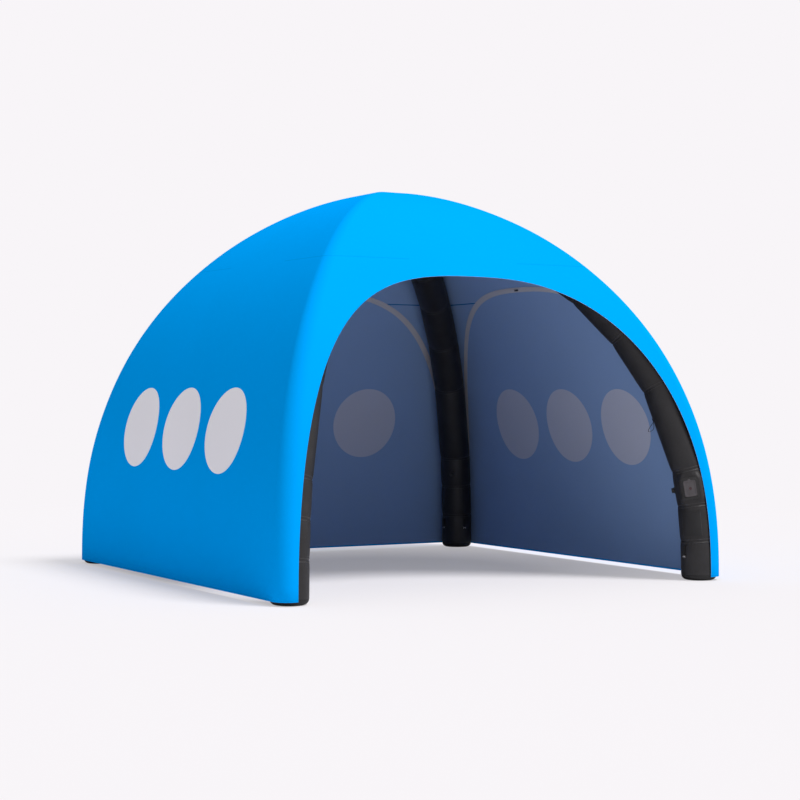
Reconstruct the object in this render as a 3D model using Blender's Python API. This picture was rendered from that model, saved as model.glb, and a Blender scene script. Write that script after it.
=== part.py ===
"""Inflatable four-leg dome tent, one side open and three walls zipped in.

Metres, Z up. The origin is the middle of the footprint on the ground, and the open side faces -Y.
Each side of the roof is a sheet that bends one way only, so a place on it is given by x across
and s, the length up the sheet from its hem. A leg runs under each corner of the roof to the crown.
"""

import math

import bmesh
import bpy
from mathutils import Matrix, Vector

# Roof and doorway
HALF_WIDTH = 2.0
HEM_HEIGHT = 0.03
ROOF_DEPTH = 0.778
ARCH_RISE = 2.385
WIDTH_EXPONENT = 1.758
RISE_EXPONENT = 2.345
ARCH_WIDTH_EXPONENT = 2.72
ARCH_RISE_EXPONENT = 2.3
CORNER_RADIUS = 0.12
EDGE_STRIP = 0.0243
FABRIC = 0.0025

# Arch zip
ZIP_WIDTH = 0.05
ZIP_THICKNESS = 0.002
SLIDER_LENGTH = 0.034
SLIDER_WIDTH = 0.014
SLIDER_HEIGHT = 0.009
SLIDER_EDGE = 0.002
PULL_LENGTH = 0.045
PULL_WIDTH = 0.011
PULL_THICKNESS = 0.003
PULL_STEP = 0.004

# Legs and crown
LEG_RADIUS = 0.1425
SLEEVE_THICKNESS = 0.0025
BLADDER_THICKNESS = 0.002
BAND_DEPTH = 0.005
BAND_REACH = 0.04
LOW_BAND_PITCH = 0.2887
LONG_BAND_PITCH = 0.726
CROWN_REACH = 0.357
CROWN_RINGS = 2

# Feet
FOOT_HEIGHT = 0.043
SOLE_RADIUS = 0.104
FOOT_PLUG_HEIGHT = 0.05
FOOT_PLUG_CLEARANCE = 0.0025
FOOT_WALL = 0.012
FOOT_FLOOR = 0.02

# Ground rings and their sewn tabs
RING_HEIGHT = 0.175
RING_WIDTH = 0.046
RING_DROP = 0.043
RING_WIRE = 0.005
RING_CORNER = 0.005
TAB_LENGTH = 0.075
WEBBING = 0.002
WEBBING_SPLIT = 0.0004

# Relief valves
VALVE_HEIGHT = 0.715
VALVE_PORT_RADIUS = 0.012
VALVE_BORE_RADIUS = 0.007
VALVE_STEM = 0.024
VALVE_FLANGE_RADIUS = 0.027
VALVE_FLANGE_THICKNESS = 0.004
VALVE_FLANGE_EDGE = 0.001
CAP_RADIUS = 0.0205
CAP_HEIGHT = 0.02
CAP_TOP = 0.0065
CAP_EDGE = 0.002
CAP_GRIP_DEPTH = 0.0014

# Pump in the front right leg
PUMP_HEIGHT = 0.715
HOUSING_WIDTH = 0.136
HOUSING_LENGTH = 0.178
HOUSING_CORNER = 0.026
HOUSING_DEPTH = 0.05
HOUSING_PROUD = 0.003
DOOR_WIDTH = 0.1
DOOR_LENGTH = 0.134
DOOR_CORNER = 0.018
DOOR_FOOT_CORNER = 0.003
DOOR_FOOT_CLEARANCE = 0.0012
DOOR_THICKNESS = 0.008
DOOR_SUNK = 0.0005
DOOR_RIM_WIDTH = 0.009
DOOR_RIM_DEPTH = 0.0018
DOOR_TAB_WIDTH = 0.02
DOOR_TAB_LENGTH = 0.008
DOOR_TAB_PROUD = 0.0025
DOOR_CLEARANCE = 0.0006
PIN_RADIUS = 0.002
PIN_LENGTH = 0.004
BUTTON_RADIUS = 0.012
BUTTON_PROUD = 0.0018
BUTTON_TRAVEL = 0.002
BUTTON_LIP = 0.0018
BUTTON_LIP_THICKNESS = 0.001
BUTTON_EDGE = 0.0006
MOTOR_RADIUS = 0.042
MOTOR_LENGTH = 0.07
MOTOR_NECK_RADIUS = 0.03
MOTOR_NECK_LENGTH = 0.012
MOTOR_EDGE = 0.006

# Sewn pocket and webbing loop on the front right leg
POCKET_LOW = 0.335
POCKET_HIGH = 0.53
POCKET_FACETS = 3
POCKET_THICKNESS = 0.002
LOOP_HEIGHT = 1.33
LOOP_WIDTH = 0.02
LOOP_LEAN = 0.05
LOOP_OPENING = 0.068
LOOP_DROP = 0.066
LOOP_SEWN = 0.028

# Clearances
GAP = 0.0003
LEG_GAP = 0.0006
RUNNING_GAP = 0.00035
OVERRUN = 0.01

# Counts
ARCH_ROWS = 14
ROOF_ROWS = 9
CORNER_STEPS = 2
LOW_BANDS = 3
HIGH_BANDS = 5
LEG_SIDES = 16
BLADDER_SIDES = 8
AXIS_SAMPLES = 240
FOOT_STEPS = 4
ROUND_STEPS = 12
CAP_STEPS = 16
BEND_STEPS = 6
FILLET_STEPS = 4
SMALL_FILLET_STEPS = 2
SHARP_ANGLE = math.radians(30)

# Derived sizes
CROWN_RISE = ARCH_RISE + ROOF_DEPTH
ARCH_HALF_WIDTH = HALF_WIDTH - CORNER_RADIUS - EDGE_STRIP
ZIP_DEPTH = FABRIC + GAP
LEG_DEPTH = ZIP_DEPTH + ZIP_THICKNESS + LEG_GAP + LEG_RADIUS
SLEEVE_BORE = LEG_RADIUS - BAND_DEPTH - SLEEVE_THICKNESS
BLADDER_RADIUS = SLEEVE_BORE * math.cos(math.pi / LEG_SIDES) - GAP
FOOT_PLACE = HALF_WIDTH - LEG_DEPTH
TAB_WIDTH = RING_WIDTH - RING_WIRE - 2 * (RING_CORNER + RUNNING_GAP)
DOOR_FACE = HOUSING_PROUD - DOOR_SUNK
DOOR_BACK = DOOR_FACE - DOOR_THICKNESS
RECESS_FLOOR = DOOR_BACK - BUTTON_LIP_THICKNESS - BUTTON_TRAVEL - 2 * GAP

SIDES = {"front": 0, "right": 1, "back": 2, "left": 3}
CORNERS = {"front_left": (-1, -1), "front_right": (1, -1), "back_right": (1, 1), "back_left": (-1, 1)}
PUMP_CORNER = "front_right"


def clear_scene():
    for obj in list(bpy.data.objects):
        bpy.data.objects.remove(obj, do_unlink=True)


def finish_of(name, colour, roughness, metallic=0):
    """A Principled material of one colour."""
    material = bpy.data.materials.new(name)
    material.use_nodes = True
    shader = material.node_tree.nodes["Principled BSDF"]
    shader.inputs["Base Color"].default_value = (*colour, 1)
    shader.inputs["Roughness"].default_value = roughness
    shader.inputs["Metallic"].default_value = metallic
    return material


def add_object(name, mesh, material, place=None, smooth=True):
    """The bmesh as a new object, with its faces turned outwards."""
    bmesh.ops.recalc_face_normals(mesh, faces=mesh.faces)
    data = bpy.data.meshes.new(name)
    mesh.to_mesh(data)
    mesh.free()
    data.materials.append(material)
    if smooth:
        data.shade_smooth()
        data.set_sharp_from_angle(angle=SHARP_ANGLE)
    obj = bpy.data.objects.new(name, data)
    if place is not None:
        obj.matrix_world = place
    bpy.context.scene.collection.objects.link(obj)
    return obj


def cut(obj, cutter, operation="DIFFERENCE"):
    """Takes the cutter out of the object, and hides the cutter."""
    cutter.hide_render = True
    cutter.display_type = "WIRE"
    boolean = obj.modifiers.new(cutter.name, "BOOLEAN")
    boolean.object = cutter
    boolean.operation = operation
    boolean.solver = "EXACT"


def loft(rings, closed=False):
    """Faces from each ring of points to the next. A closed loft joins the last to the first,
    and an open one is capped."""
    mesh = bmesh.new()
    loops = [[mesh.verts.new(point) for point in ring] for ring in rings]
    pairs = list(zip(loops, loops[1:]))
    if closed:
        pairs.append((loops[-1], loops[0]))
    else:
        mesh.faces.new(loops[0])
        mesh.faces.new(loops[-1])
    for low, high in pairs:
        for i in range(len(low)):
            j = (i + 1) % len(low)
            mesh.faces.new((low[i], low[j], high[j], high[i]))
    return mesh


def turned(profile, steps):
    """A profile of (radius, height) points spun about Z. A profile that ends on the axis closes there."""
    mesh = bmesh.new()
    verts = [mesh.verts.new((radius, 0, height)) for radius, height in profile]
    edges = [mesh.edges.new(pair) for pair in zip(verts, verts[1:])]
    if profile[0][0] > 0:
        edges.append(mesh.edges.new((verts[-1], verts[0])))
    bmesh.ops.spin(
        mesh, geom=verts + edges, cent=(0, 0, 0), axis=(0, 0, 1), dvec=(0, 0, 0),
        angle=math.tau, steps=steps, use_merge=True, use_duplicate=False,
    )
    bmesh.ops.remove_doubles(mesh, verts=mesh.verts, dist=GAP / ROUND_STEPS)
    return mesh


def prism(outline, low, high):
    """An outline in XZ, extruded along Y from low to high."""
    mesh = bmesh.new()
    face = mesh.faces.new([mesh.verts.new((x, low, z)) for x, z in outline])
    moved = bmesh.ops.extrude_face_region(mesh, geom=[face])["geom"]
    verts = [item for item in moved if isinstance(item, bmesh.types.BMVert)]
    bmesh.ops.translate(mesh, verts=verts, vec=(0, high - low, 0))
    return mesh


def rounded_outline(width, length, corner, steps=FILLET_STEPS, foot_corner=None):
    """A rounded rectangle about the origin, as (x, z) points. Its lower corners may differ."""
    points = []
    for quarter, (sx, sz) in enumerate(((1, 1), (-1, 1), (-1, -1), (1, -1))):
        radius = corner if sz > 0 or foot_corner is None else foot_corner
        for step in range(steps + 1):
            turn = math.pi / 2 * (quarter + step / steps)
            x = sx * (width / 2 - radius) + radius * math.cos(turn)
            z = sz * (length / 2 - radius) + radius * math.sin(turn)
            points.append((x, z))
    return points


def ribbon(path, thickness, width):
    """Webbing bent along a path of (y, z) points and extruded across its width in X."""
    left, right = [], []
    for i, point in enumerate(path):
        before = Vector(path[max(i - 1, 0)])
        after = Vector(path[min(i + 1, len(path) - 1)])
        along = (after - before).normalized()
        across = Vector((-along.y, along.x)) * thickness / 2
        left.append(Vector(point) + across)
        right.append(Vector(point) - across)
    outline = left + right[::-1]
    mesh = bmesh.new()
    face = mesh.faces.new([mesh.verts.new((-width / 2, y, z)) for y, z in outline])
    moved = bmesh.ops.extrude_face_region(mesh, geom=[face])["geom"]
    verts = [item for item in moved if isinstance(item, bmesh.types.BMVert)]
    bmesh.ops.translate(mesh, verts=verts, vec=(width, 0, 0))
    return mesh


def power(base, exponent):
    return max(base, 0) ** exponent


def profile_row(rise):
    """(half width, rise, outward normal's two parts) of the roof at a height above its hem."""
    half = HALF_WIDTH * power(1 - power(rise / CROWN_RISE, RISE_EXPONENT), 1 / WIDTH_EXPONENT)
    out = WIDTH_EXPONENT / HALF_WIDTH * power(half / HALF_WIDTH, WIDTH_EXPONENT - 1)
    up = RISE_EXPONENT / CROWN_RISE * power(rise / CROWN_RISE, RISE_EXPONENT - 1)
    size = math.hypot(out, up)
    return half, rise, out / size, up / size


def arch_place(row):
    """(half width, rise) of the doorway's edge at one of its rows."""
    turn = math.pi / 2 * row / ARCH_ROWS
    width = ARCH_HALF_WIDTH * power(math.cos(turn), 2 / ARCH_WIDTH_EXPONENT)
    rise = ARCH_RISE * power(math.sin(turn), 2 / ARCH_RISE_EXPONENT)
    return (0 if row == ARCH_ROWS else width), rise


def roof_rows():
    """The rows of one side, as (s, half width, rise, normal out, normal up), from hem to apex."""
    rises = [arch_place(row)[1] for row in range(ARCH_ROWS + 1)]
    start = math.asin(power(ARCH_RISE / CROWN_RISE, RISE_EXPONENT / 2))
    for row in range(1, ROOF_ROWS + 1):
        turn = start + (math.pi / 2 - start) * row / ROOF_ROWS
        rises.append(CROWN_RISE * power(math.sin(turn), 2 / RISE_EXPONENT))
    rises[-1] = CROWN_RISE
    rows, length = [], 0
    for rise in rises:
        place = profile_row(rise)
        if rows:
            length += math.hypot(place[0] - rows[-1][1], place[1] - rows[-1][2])
        rows.append((length, *place))
    return rows


ROWS = roof_rows()


def row_at(s):
    """The row at a length up the side, between its flat facets' edges."""
    s = min(max(s, 0), ROWS[-1][0])
    high = next(i for i, row in enumerate(ROWS) if row[0] >= s and i > 0)
    low_row, high_row = ROWS[high - 1], ROWS[high]
    share = (s - low_row[0]) / (high_row[0] - low_row[0])
    return tuple(a + (b - a) * share for a, b in zip(low_row, high_row))


def side_turn(side):
    return Matrix.Rotation(math.pi / 2 * SIDES[side], 4, "Z")


def side_point(side, x, row, depth):
    """A point on the flat of a side, at a depth under its outer face."""
    _, half, rise, out, up = row
    return side_turn(side) @ Vector((x, -(half - depth * out), HEM_HEIGHT + rise - depth * up))


def corner_radius(row):
    """The corner's radius, which closes with height as the leg under it leans over."""
    _, half, _, out, up = row
    if out <= 0:
        return 0
    bend_share = (math.sqrt(2 / (1 + up * up)) - 1) / (math.sqrt(2) - 1)
    lean_share = math.sqrt(1 + up * up) / out
    return min(CORNER_RADIUS * bend_share * lean_share, half)


def corner_point(side, hand, row, share, depth):
    """A point on the rounded corner at one end of a side. A share of 1 is the ridge."""
    _, half, rise, out, up = row
    radius = corner_radius(row)
    turn = math.pi / 4 * share
    sine, cosine = math.sin(turn), math.cos(turn)
    outer = Vector((half - radius + radius * sine, radius - half - radius * cosine, HEM_HEIGHT + rise))
    normal = Vector((out * sine, -out * cosine, up * (sine + cosine))).normalized()
    point = outer - normal * depth
    if share == 1:
        point -= Vector((1, 1, 0)).normalized() * GAP / 2
    point.x *= hand
    return side_turn(side) @ point


def slab(skins, faces):
    """A closed sheet. Each key in skins has an outer and an inner point, and a face lists keys."""
    mesh = bmesh.new()
    outer = {key: mesh.verts.new(pair[0]) for key, pair in skins.items()}
    inner = {key: mesh.verts.new(pair[1]) for key, pair in skins.items()}
    edges = {}
    for face in faces:
        mesh.faces.new([outer[key] for key in face])
        mesh.faces.new([inner[key] for key in reversed(face)])
        for pair in zip(face, face[1:] + face[:1]):
            edges[frozenset(pair)] = None if frozenset(pair) in edges else pair
    for pair in edges.values():
        if pair is not None:
            a, b = pair
            mesh.faces.new((outer[b], outer[a], inner[a], inner[b]))
    return mesh


def roof_panel(side, material):
    """One side of the roof, from ridge to ridge, with the arch cut out of its lower part."""
    depths = (0, FABRIC)
    skins, faces = {}, []
    for i, row in enumerate(ROWS[:-1]):
        flat = row[1] - corner_radius(row)
        edge = arch_place(i)[0] if i <= ARCH_ROWS else None
        for hand in (-1, 1):
            if i < ARCH_ROWS:
                skins[i, hand, -1] = [side_point(side, hand * edge, row, depth) for depth in depths]
            skins[i, hand, 0] = [side_point(side, hand * flat, row, depth) for depth in depths]
            for step in range(1, CORNER_STEPS + 1):
                share = step / CORNER_STEPS
                skins[i, hand, step] = [corner_point(side, hand, row, share, depth) for depth in depths]
        if i == ARCH_ROWS:
            skins["arch"] = [side_point(side, 0, row, depth) for depth in depths]
    tip = Vector((0, -GAP / math.sqrt(2), HEM_HEIGHT + CROWN_RISE))
    skins["tip"] = [side_turn(side) @ (tip - Vector((0, 0, depth))) for depth in depths]

    for i in range(len(ROWS) - 2):
        for hand in (-1, 1):
            columns = range(-1 if i < ARCH_ROWS else 0, CORNER_STEPS)
            for column in columns:
                low_edge = [(i, hand, column), (i, hand, column + 1)]
                high_edge = [(i + 1, hand, column + 1), (i + 1, hand, column)]
                face = ["arch" if key == (ARCH_ROWS, hand, -1) else key for key in low_edge + high_edge]
                faces.append(face if hand == 1 else face[::-1])
        if i == ARCH_ROWS:
            faces.append([(i, -1, 0), "arch", (i, 1, 0), (i + 1, 1, 0), (i + 1, -1, 0)])
        elif i > ARCH_ROWS:
            faces.append([(i, -1, 0), (i, 1, 0), (i + 1, 1, 0), (i + 1, -1, 0)])
    last = len(ROWS) - 2
    faces.append([(last, -1, 0), (last, 1, 0), "tip"])
    for hand in (-1, 1):
        for column in range(CORNER_STEPS):
            face = [(last, hand, column), (last, hand, column + 1), "tip"]
            faces.append(face if hand == 1 else face[::-1])
    return add_object(f"roof_{side}", slab(skins, faces), material)


def arch_line(offset):
    """(x, s) points beside the doorway's edge, from its foot to its top, offset away from the opening."""
    line = [(arch_place(i)[0], ROWS[i][0]) for i in range(ARCH_ROWS + 1)]
    moved = []
    for i, (x, s) in enumerate(line):
        if i == 0:
            away = Vector((1, 0))
        elif i == ARCH_ROWS:
            away = Vector((0, 1))
        else:
            along = Vector(line[i + 1]) - Vector(line[i - 1])
            away = Vector((along.y, -along.x)).normalized()
        moved.append((max(x + away.x * offset, 0), s + away.y * offset))
    return moved


def wall_panel(side, material):
    """The sheet that fills an arch, a gap in from its edge."""
    skins, faces = {}, []
    line = arch_line(-GAP)
    for i, (x, s) in enumerate(line):
        for hand in (-1, 1) if i < ARCH_ROWS else (0,):
            skins[i, hand] = [side_point(side, hand * x, row_at(s), depth) for depth in (0, FABRIC)]
    for i in range(ARCH_ROWS - 1):
        faces.append([(i, -1), (i, 1), (i + 1, 1), (i + 1, -1)])
    faces.append([(ARCH_ROWS - 1, -1), (ARCH_ROWS - 1, 1), (ARCH_ROWS, 0)])
    return add_object(f"wall_{side}", slab(skins, faces), material)


def zip_band(side, material):
    """The zip and its flap, a band inside the roof along the arch. The open side keeps the roof's half."""
    inner_edge = -ZIP_WIDTH / 2 if side != "front" else GAP
    lines = [arch_line(inner_edge), arch_line(ZIP_WIDTH / 2)]
    depths = (ZIP_DEPTH, ZIP_DEPTH + ZIP_THICKNESS)
    skins, faces = {}, []
    for hand in (-1, 1):
        for i in range(ARCH_ROWS + 1):
            for edge, line in enumerate(lines):
                x, s = line[i]
                key = (i, 0 if i == ARCH_ROWS else hand, edge)
                skins[key] = [side_point(side, hand * x, row_at(s), depth) for depth in depths]
        for i in range(ARCH_ROWS):
            top_hand = 0 if i + 1 == ARCH_ROWS else hand
            face = [(i, hand, 0), (i, hand, 1), (i + 1, top_hand, 1), (i + 1, top_hand, 0)]
            faces.append(face if hand == 1 else face[::-1])
    return add_object(f"arch_zip_{side}", slab(skins, faces), material)


def slider_place(side):
    """The middle of the arch's top, over the zip's inner face: Y points into the tent, X along the zip."""
    depth = ZIP_DEPTH + ZIP_THICKNESS + GAP
    middle = ROWS[ARCH_ROWS][0]
    low = side_point(side, 0, row_at(middle - ZIP_WIDTH / 2), depth)
    high = side_point(side, 0, row_at(middle + ZIP_WIDTH / 2), depth)
    across = side_turn(side).to_3x3() @ Vector((1, 0, 0))
    inward = (high - low).normalized().cross(across)
    return frame_of((low + high) / 2, across, inward)


def frame_of(point, across, outward):
    """A matrix with X across, Y outward and Z the third way, at a point."""
    upward = across.cross(outward).normalized()
    place = Matrix((across, outward, upward)).transposed().to_4x4()
    place.translation = point
    return place


def zip_slider(side, material):
    """A slider on the zip with its pull lying along the zip."""
    outline = rounded_outline(SLIDER_LENGTH, SLIDER_WIDTH, SLIDER_EDGE, SMALL_FILLET_STEPS)
    mesh = prism(outline, 0, SLIDER_HEIGHT - PULL_THICKNESS)
    crown = [vert for vert in mesh.verts if vert.co.y > SLIDER_EDGE]
    taper = (1 - SLIDER_EDGE / SLIDER_LENGTH, 1, 1 - SLIDER_EDGE / SLIDER_WIDTH)
    bmesh.ops.scale(mesh, verts=crown, vec=taper)
    slider = add_object(f"zip_slider_{side}", mesh, material, slider_place(side))
    low = SLIDER_HEIGHT - PULL_THICKNESS - PULL_STEP / 2
    outline = rounded_outline(PULL_LENGTH, PULL_WIDTH, PULL_WIDTH / 2 - SLIDER_EDGE, SMALL_FILLET_STEPS)
    pull = prism(outline, low, SLIDER_HEIGHT)
    bmesh.ops.translate(pull, verts=pull.verts, vec=(PULL_LENGTH / 2 - SLIDER_LENGTH / 4, 0, 0))
    cut(slider, add_object(f"cutter_pull_{side}", pull, material, slider_place(side)), "UNION")
    return slider


def axis_table():
    """(length, s) pairs along a leg's axis, from its foot to the crown."""
    table, last, length = [], None, 0
    for sample in range(AXIS_SAMPLES + 1):
        s = ROWS[-1][0] * sample / AXIS_SAMPLES
        _, half, rise, out, up = row_at(s)
        point = Vector((half - LEG_DEPTH * out, half - LEG_DEPTH * out, rise - LEG_DEPTH * up))
        if last is not None:
            length += (point - last).length
        table.append((length, s))
        last = point
    return table


AXIS = axis_table()
LEG_LENGTH = AXIS[-1][0] - CROWN_REACH
LONG_BAND = LOW_BANDS * LOW_BAND_PITCH + LONG_BAND_PITCH
HIGH_BAND_PITCH = (LEG_LENGTH - LONG_BAND) / HIGH_BANDS
FOOT_SEAT = FOOT_HEIGHT - HEM_HEIGHT + LEG_GAP


def axis_frame(corner, length):
    """(centre, along, inward, sideways) of a leg's axis at a length from its foot."""
    high = next(i for i, pair in enumerate(AXIS) if pair[0] >= length and i > 0)
    low_pair, high_pair = AXIS[high - 1], AXIS[high]
    share = (length - low_pair[0]) / (high_pair[0] - low_pair[0])
    _, half, rise, out, up = row_at(low_pair[1] + (high_pair[1] - low_pair[1]) * share)
    sx, sy = CORNERS[corner]
    place = half - LEG_DEPTH * out
    centre = Vector((sx * place, sy * place, HEM_HEIGHT + rise - LEG_DEPTH * up))
    along = Vector((-sx * up, -sy * up, out)).normalized()
    sideways = Vector((-sy, sx, 0)).normalized()
    inward = along.cross(sideways).normalized()
    if inward.dot(Vector((-sx, -sy, 0))) < 0:
        inward = -inward
    return centre, along, inward, sideways


def level_frame(corner, length):
    """The axis frame turned level, for an end that sits flat on the foot."""
    centre, _, _, sideways = axis_frame(corner, length)
    upright = Vector((0, 0, 1))
    inward = sideways.cross(upright)
    if inward.dot(centre) > 0:
        inward = -inward
    return centre, upright, inward, sideways


def band_places():
    """Lengths along a leg of its seat on the foot, its seam bands and its end at the crown."""
    low = [LOW_BAND_PITCH * (band + 1) for band in range(LOW_BANDS)]
    high = [LONG_BAND + HIGH_BAND_PITCH * band for band in range(HIGH_BANDS)]
    return [FOOT_SEAT] + low + high + [LEG_LENGTH]


def chord_frame(corner, low, high, length):
    """The axis frame on the straight run between two bands."""
    share = (length - low) / (high - low)
    ends = zip(axis_frame(corner, low), axis_frame(corner, high))
    centre, along, inward, sideways = (a.lerp(b, share) for a, b in ends)
    return centre, along.normalized(), inward.normalized(), sideways


def ring(frame, radius, sides, half_step=False):
    """A ring of points about a leg's axis, the first straight inward, or half a step on."""
    centre, _, inward, sideways = frame
    points = []
    for side in range(sides):
        turn = math.tau * (side + (0.5 if half_step else 0)) / sides
        points.append(centre + (inward * math.cos(turn) + sideways * math.sin(turn)) * radius)
    return points


def sleeve_rings(corner):
    """The outer rings of a sleeve, drawn in at each band and full between them."""
    places = band_places()
    waist = LEG_RADIUS - BAND_DEPTH
    rings = [ring(level_frame(corner, places[0]), LEG_RADIUS, LEG_SIDES)]
    for low, high in zip(places, places[1:]):
        if low != places[0]:
            rings.append(ring(chord_frame(corner, low, high, low + BAND_REACH), LEG_RADIUS, LEG_SIDES))
        rings.append(ring(chord_frame(corner, low, high, high - BAND_REACH), LEG_RADIUS, LEG_SIDES))
        rings.append(ring(axis_frame(corner, high), waist, LEG_SIDES))
    return rings


def leg_sleeve(corner, material):
    outer = sleeve_rings(corner)
    places = band_places()
    inner = [ring(level_frame(corner, places[0]), SLEEVE_BORE, LEG_SIDES)]
    inner += [ring(axis_frame(corner, place), SLEEVE_BORE, LEG_SIDES) for place in places[1:]]
    return add_object(f"leg_sleeve_{corner}", loft(outer + inner[::-1], closed=True), material)


def leg_bladder(corner, material):
    """The air tube in a leg: closed over the foot and open to the crown."""
    seat = FOOT_SEAT + FOOT_PLUG_HEIGHT
    bore = BLADDER_RADIUS - BLADDER_THICKNESS
    outer = [ring(level_frame(corner, seat), BLADDER_RADIUS, BLADDER_SIDES, True)]
    inner = [ring(level_frame(corner, seat + BLADDER_THICKNESS), bore, BLADDER_SIDES, True)]
    for place in band_places()[1:]:
        frame = axis_frame(corner, place)
        outer.append(ring(frame, BLADDER_RADIUS, BLADDER_SIDES, True))
        inner.append(ring(frame, bore, BLADDER_SIDES, True))
    return add_object(f"leg_bladder_{corner}", loft(outer + inner[::-1]), material)


def crown_skin(mesh, radius, sides, half_step):
    """Four short arms that meet on the planes between them. Returns each arm's end loop."""
    ends = []
    reach = [CROWN_REACH * (1 - step / (CROWN_RINGS + 1)) - GAP for step in range(CROWN_RINGS)]
    for corner, (sx, sy) in CORNERS.items():
        loops = []
        for length in reach:
            frame = axis_frame(corner, AXIS[-1][0] - length)
            loops.append([mesh.verts.new(point) for point in ring(frame, radius, sides, half_step)])
        diagonal = Vector((sx, sy, 0)).normalized()
        sideways = Vector((-sy, sx, 0)).normalized()
        mitre = []
        for side in range(sides):
            turn = math.tau * (side + (0.5 if half_step else 0)) / sides
            offset = math.sin(turn) * radius
            centre = axis_frame(corner, AXIS[-1][0] - abs(offset))[0]
            point = diagonal * abs(offset) + sideways * offset
            point.z = centre.z - math.cos(turn) * radius
            mitre.append(mesh.verts.new(point))
        loops.append(mitre)
        ends.append(loops[0])
        for low, high in zip(loops, loops[1:]):
            for i in range(sides):
                j = (i + 1) % sides
                mesh.faces.new((low[i], low[j], high[j], high[i]))
    return ends


def crown_cross(name, radius, wall, sides, half_step, material):
    """The cross where the four legs meet, open at its four ends."""
    mesh = bmesh.new()
    outer = crown_skin(mesh, radius, sides, half_step)
    inner = crown_skin(mesh, radius - wall, sides, half_step)
    for outer_loop, inner_loop in zip(outer, inner):
        for i in range(sides):
            j = (i + 1) % sides
            mesh.faces.new((outer_loop[i], outer_loop[j], inner_loop[j], inner_loop[i]))
    bmesh.ops.remove_doubles(mesh, verts=mesh.verts, dist=GAP)
    bmesh.ops.holes_fill(mesh, edges=mesh.edges, sides=4)
    return add_object(name, mesh, material)


def foot(corner, material):
    """A moulded foot: a rounded sole, a shoulder under the sleeve and a hollow plug up inside it."""
    shoulder = LEG_RADIUS - WEBBING
    plug = SLEEVE_BORE * math.cos(math.pi / LEG_SIDES) - FOOT_PLUG_CLEARANCE
    profile = [(0, 0)]
    for step in range(FOOT_STEPS + 1):
        turn = math.pi / 2 * step / FOOT_STEPS
        radius = SOLE_RADIUS + (shoulder - SOLE_RADIUS) * math.sin(turn)
        profile.append((radius, (FOOT_HEIGHT - WEBBING) * (1 - math.cos(turn))))
    profile += [
        (shoulder, FOOT_HEIGHT),
        (plug, FOOT_HEIGHT),
        (plug, FOOT_HEIGHT + FOOT_PLUG_HEIGHT),
        (plug - FOOT_WALL, FOOT_HEIGHT + FOOT_PLUG_HEIGHT),
        (plug - FOOT_WALL, FOOT_FLOOR),
        (0, FOOT_FLOOR),
    ]
    sx, sy = CORNERS[corner]
    place = Matrix.Translation((sx * FOOT_PLACE, sy * FOOT_PLACE, 0))
    return add_object(f"foot_{corner}", turned(profile, LEG_SIDES), material, place)


def fitting_frame(corner, turn, length):
    """A frame on a leg's outside: Y outward, Z up along the leg, at a turn from its inner side."""
    places = band_places()
    low = max(place for place in places[:-1] if place <= length)
    high = places[places.index(low) + 1]
    start, stop = low + BAND_REACH, high - BAND_REACH
    first = chord_frame(corner, low, high, start)
    if low == places[0]:
        start, first = low, level_frame(corner, low)
    ends = []
    for centre, _, inward, sideways in (first, chord_frame(corner, low, high, stop)):
        outward = inward * math.cos(turn) + sideways * math.sin(turn)
        ends.append((centre + outward * LEG_RADIUS, outward))
    point, outward = (a.lerp(b, (length - start) / (stop - start)) for a, b in zip(*ends))
    along = (ends[1][0] - ends[0][0]).normalized()
    across = outward.cross(along).normalized()
    return frame_of(point, across, along.cross(across))


def ring_tab(name, place, material):
    """Webbing sewn to the leg in two layers, folded round the ring's bar."""
    mid = WEBBING / 2
    bend = RING_WIRE / 2 + RUNNING_GAP + mid
    back = GAP + mid
    front = back + WEBBING + WEBBING_SPLIT
    bar = back + bend
    path = [(back, TAB_LENGTH), (back, 0)]
    last = math.pi - math.acos((bar - front) / bend)
    for step in range(1, BEND_STEPS + 1):
        turn = -math.pi + (math.pi + last) * step / BEND_STEPS
        path.append((bar + bend * math.cos(turn), bend * math.sin(turn)))
    path += [(front, path[-1][1] + mid), (front, TAB_LENGTH)]
    return add_object(name, ribbon(path, WEBBING, TAB_WIDTH), material, place)


def ground_ring(name, place, material):
    """A wire D: a straight bar in the tab's fold and a bow that hangs below it."""
    half = (RING_WIDTH - RING_WIRE) / 2
    bow = RING_DROP - RING_WIRE - RING_CORNER
    bends = []
    for step in range(SMALL_FILLET_STEPS + 1):
        turn = math.pi / 2 * step / SMALL_FILLET_STEPS
        bends.append((half - RING_CORNER * (1 - math.sin(turn)), RING_CORNER * (math.cos(turn) - 1)))
    points = [(-x, z) for x, z in bends[::-1]] + bends
    for step in range(1, BEND_STEPS):
        turn = math.pi * step / BEND_STEPS
        points.append((half * math.cos(turn), -RING_CORNER - bow * math.sin(turn)))
    data = bpy.data.curves.new(name, "CURVE")
    data.dimensions = "3D"
    data.bevel_depth = RING_WIRE / 2
    data.bevel_resolution = 1
    spline = data.splines.new("POLY")
    spline.points.add(len(points) - 1)
    for point, (x, z) in zip(spline.points, points):
        point.co = (x, 0, z, 1)
    spline.use_cyclic_u = True
    data.materials.append(material)
    obj = bpy.data.objects.new(name, data)
    obj.matrix_world = place
    bpy.context.scene.collection.objects.link(obj)
    return obj


def ring_pair(corner, webbing, steel):
    """The two ground rings of a leg, one towards each side of the tent."""
    for hand, turn in (("a", -math.pi / 4), ("b", math.pi / 4)):
        place = fitting_frame(corner, turn, RING_HEIGHT)
        ring_tab(f"ring_tab_{corner}_{hand}", place, webbing)
        bar = GAP + WEBBING + RUNNING_GAP + RING_WIRE / 2
        ground_ring(f"ground_ring_{corner}_{hand}", place @ Matrix.Translation((0, bar, 0)), steel)


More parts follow.
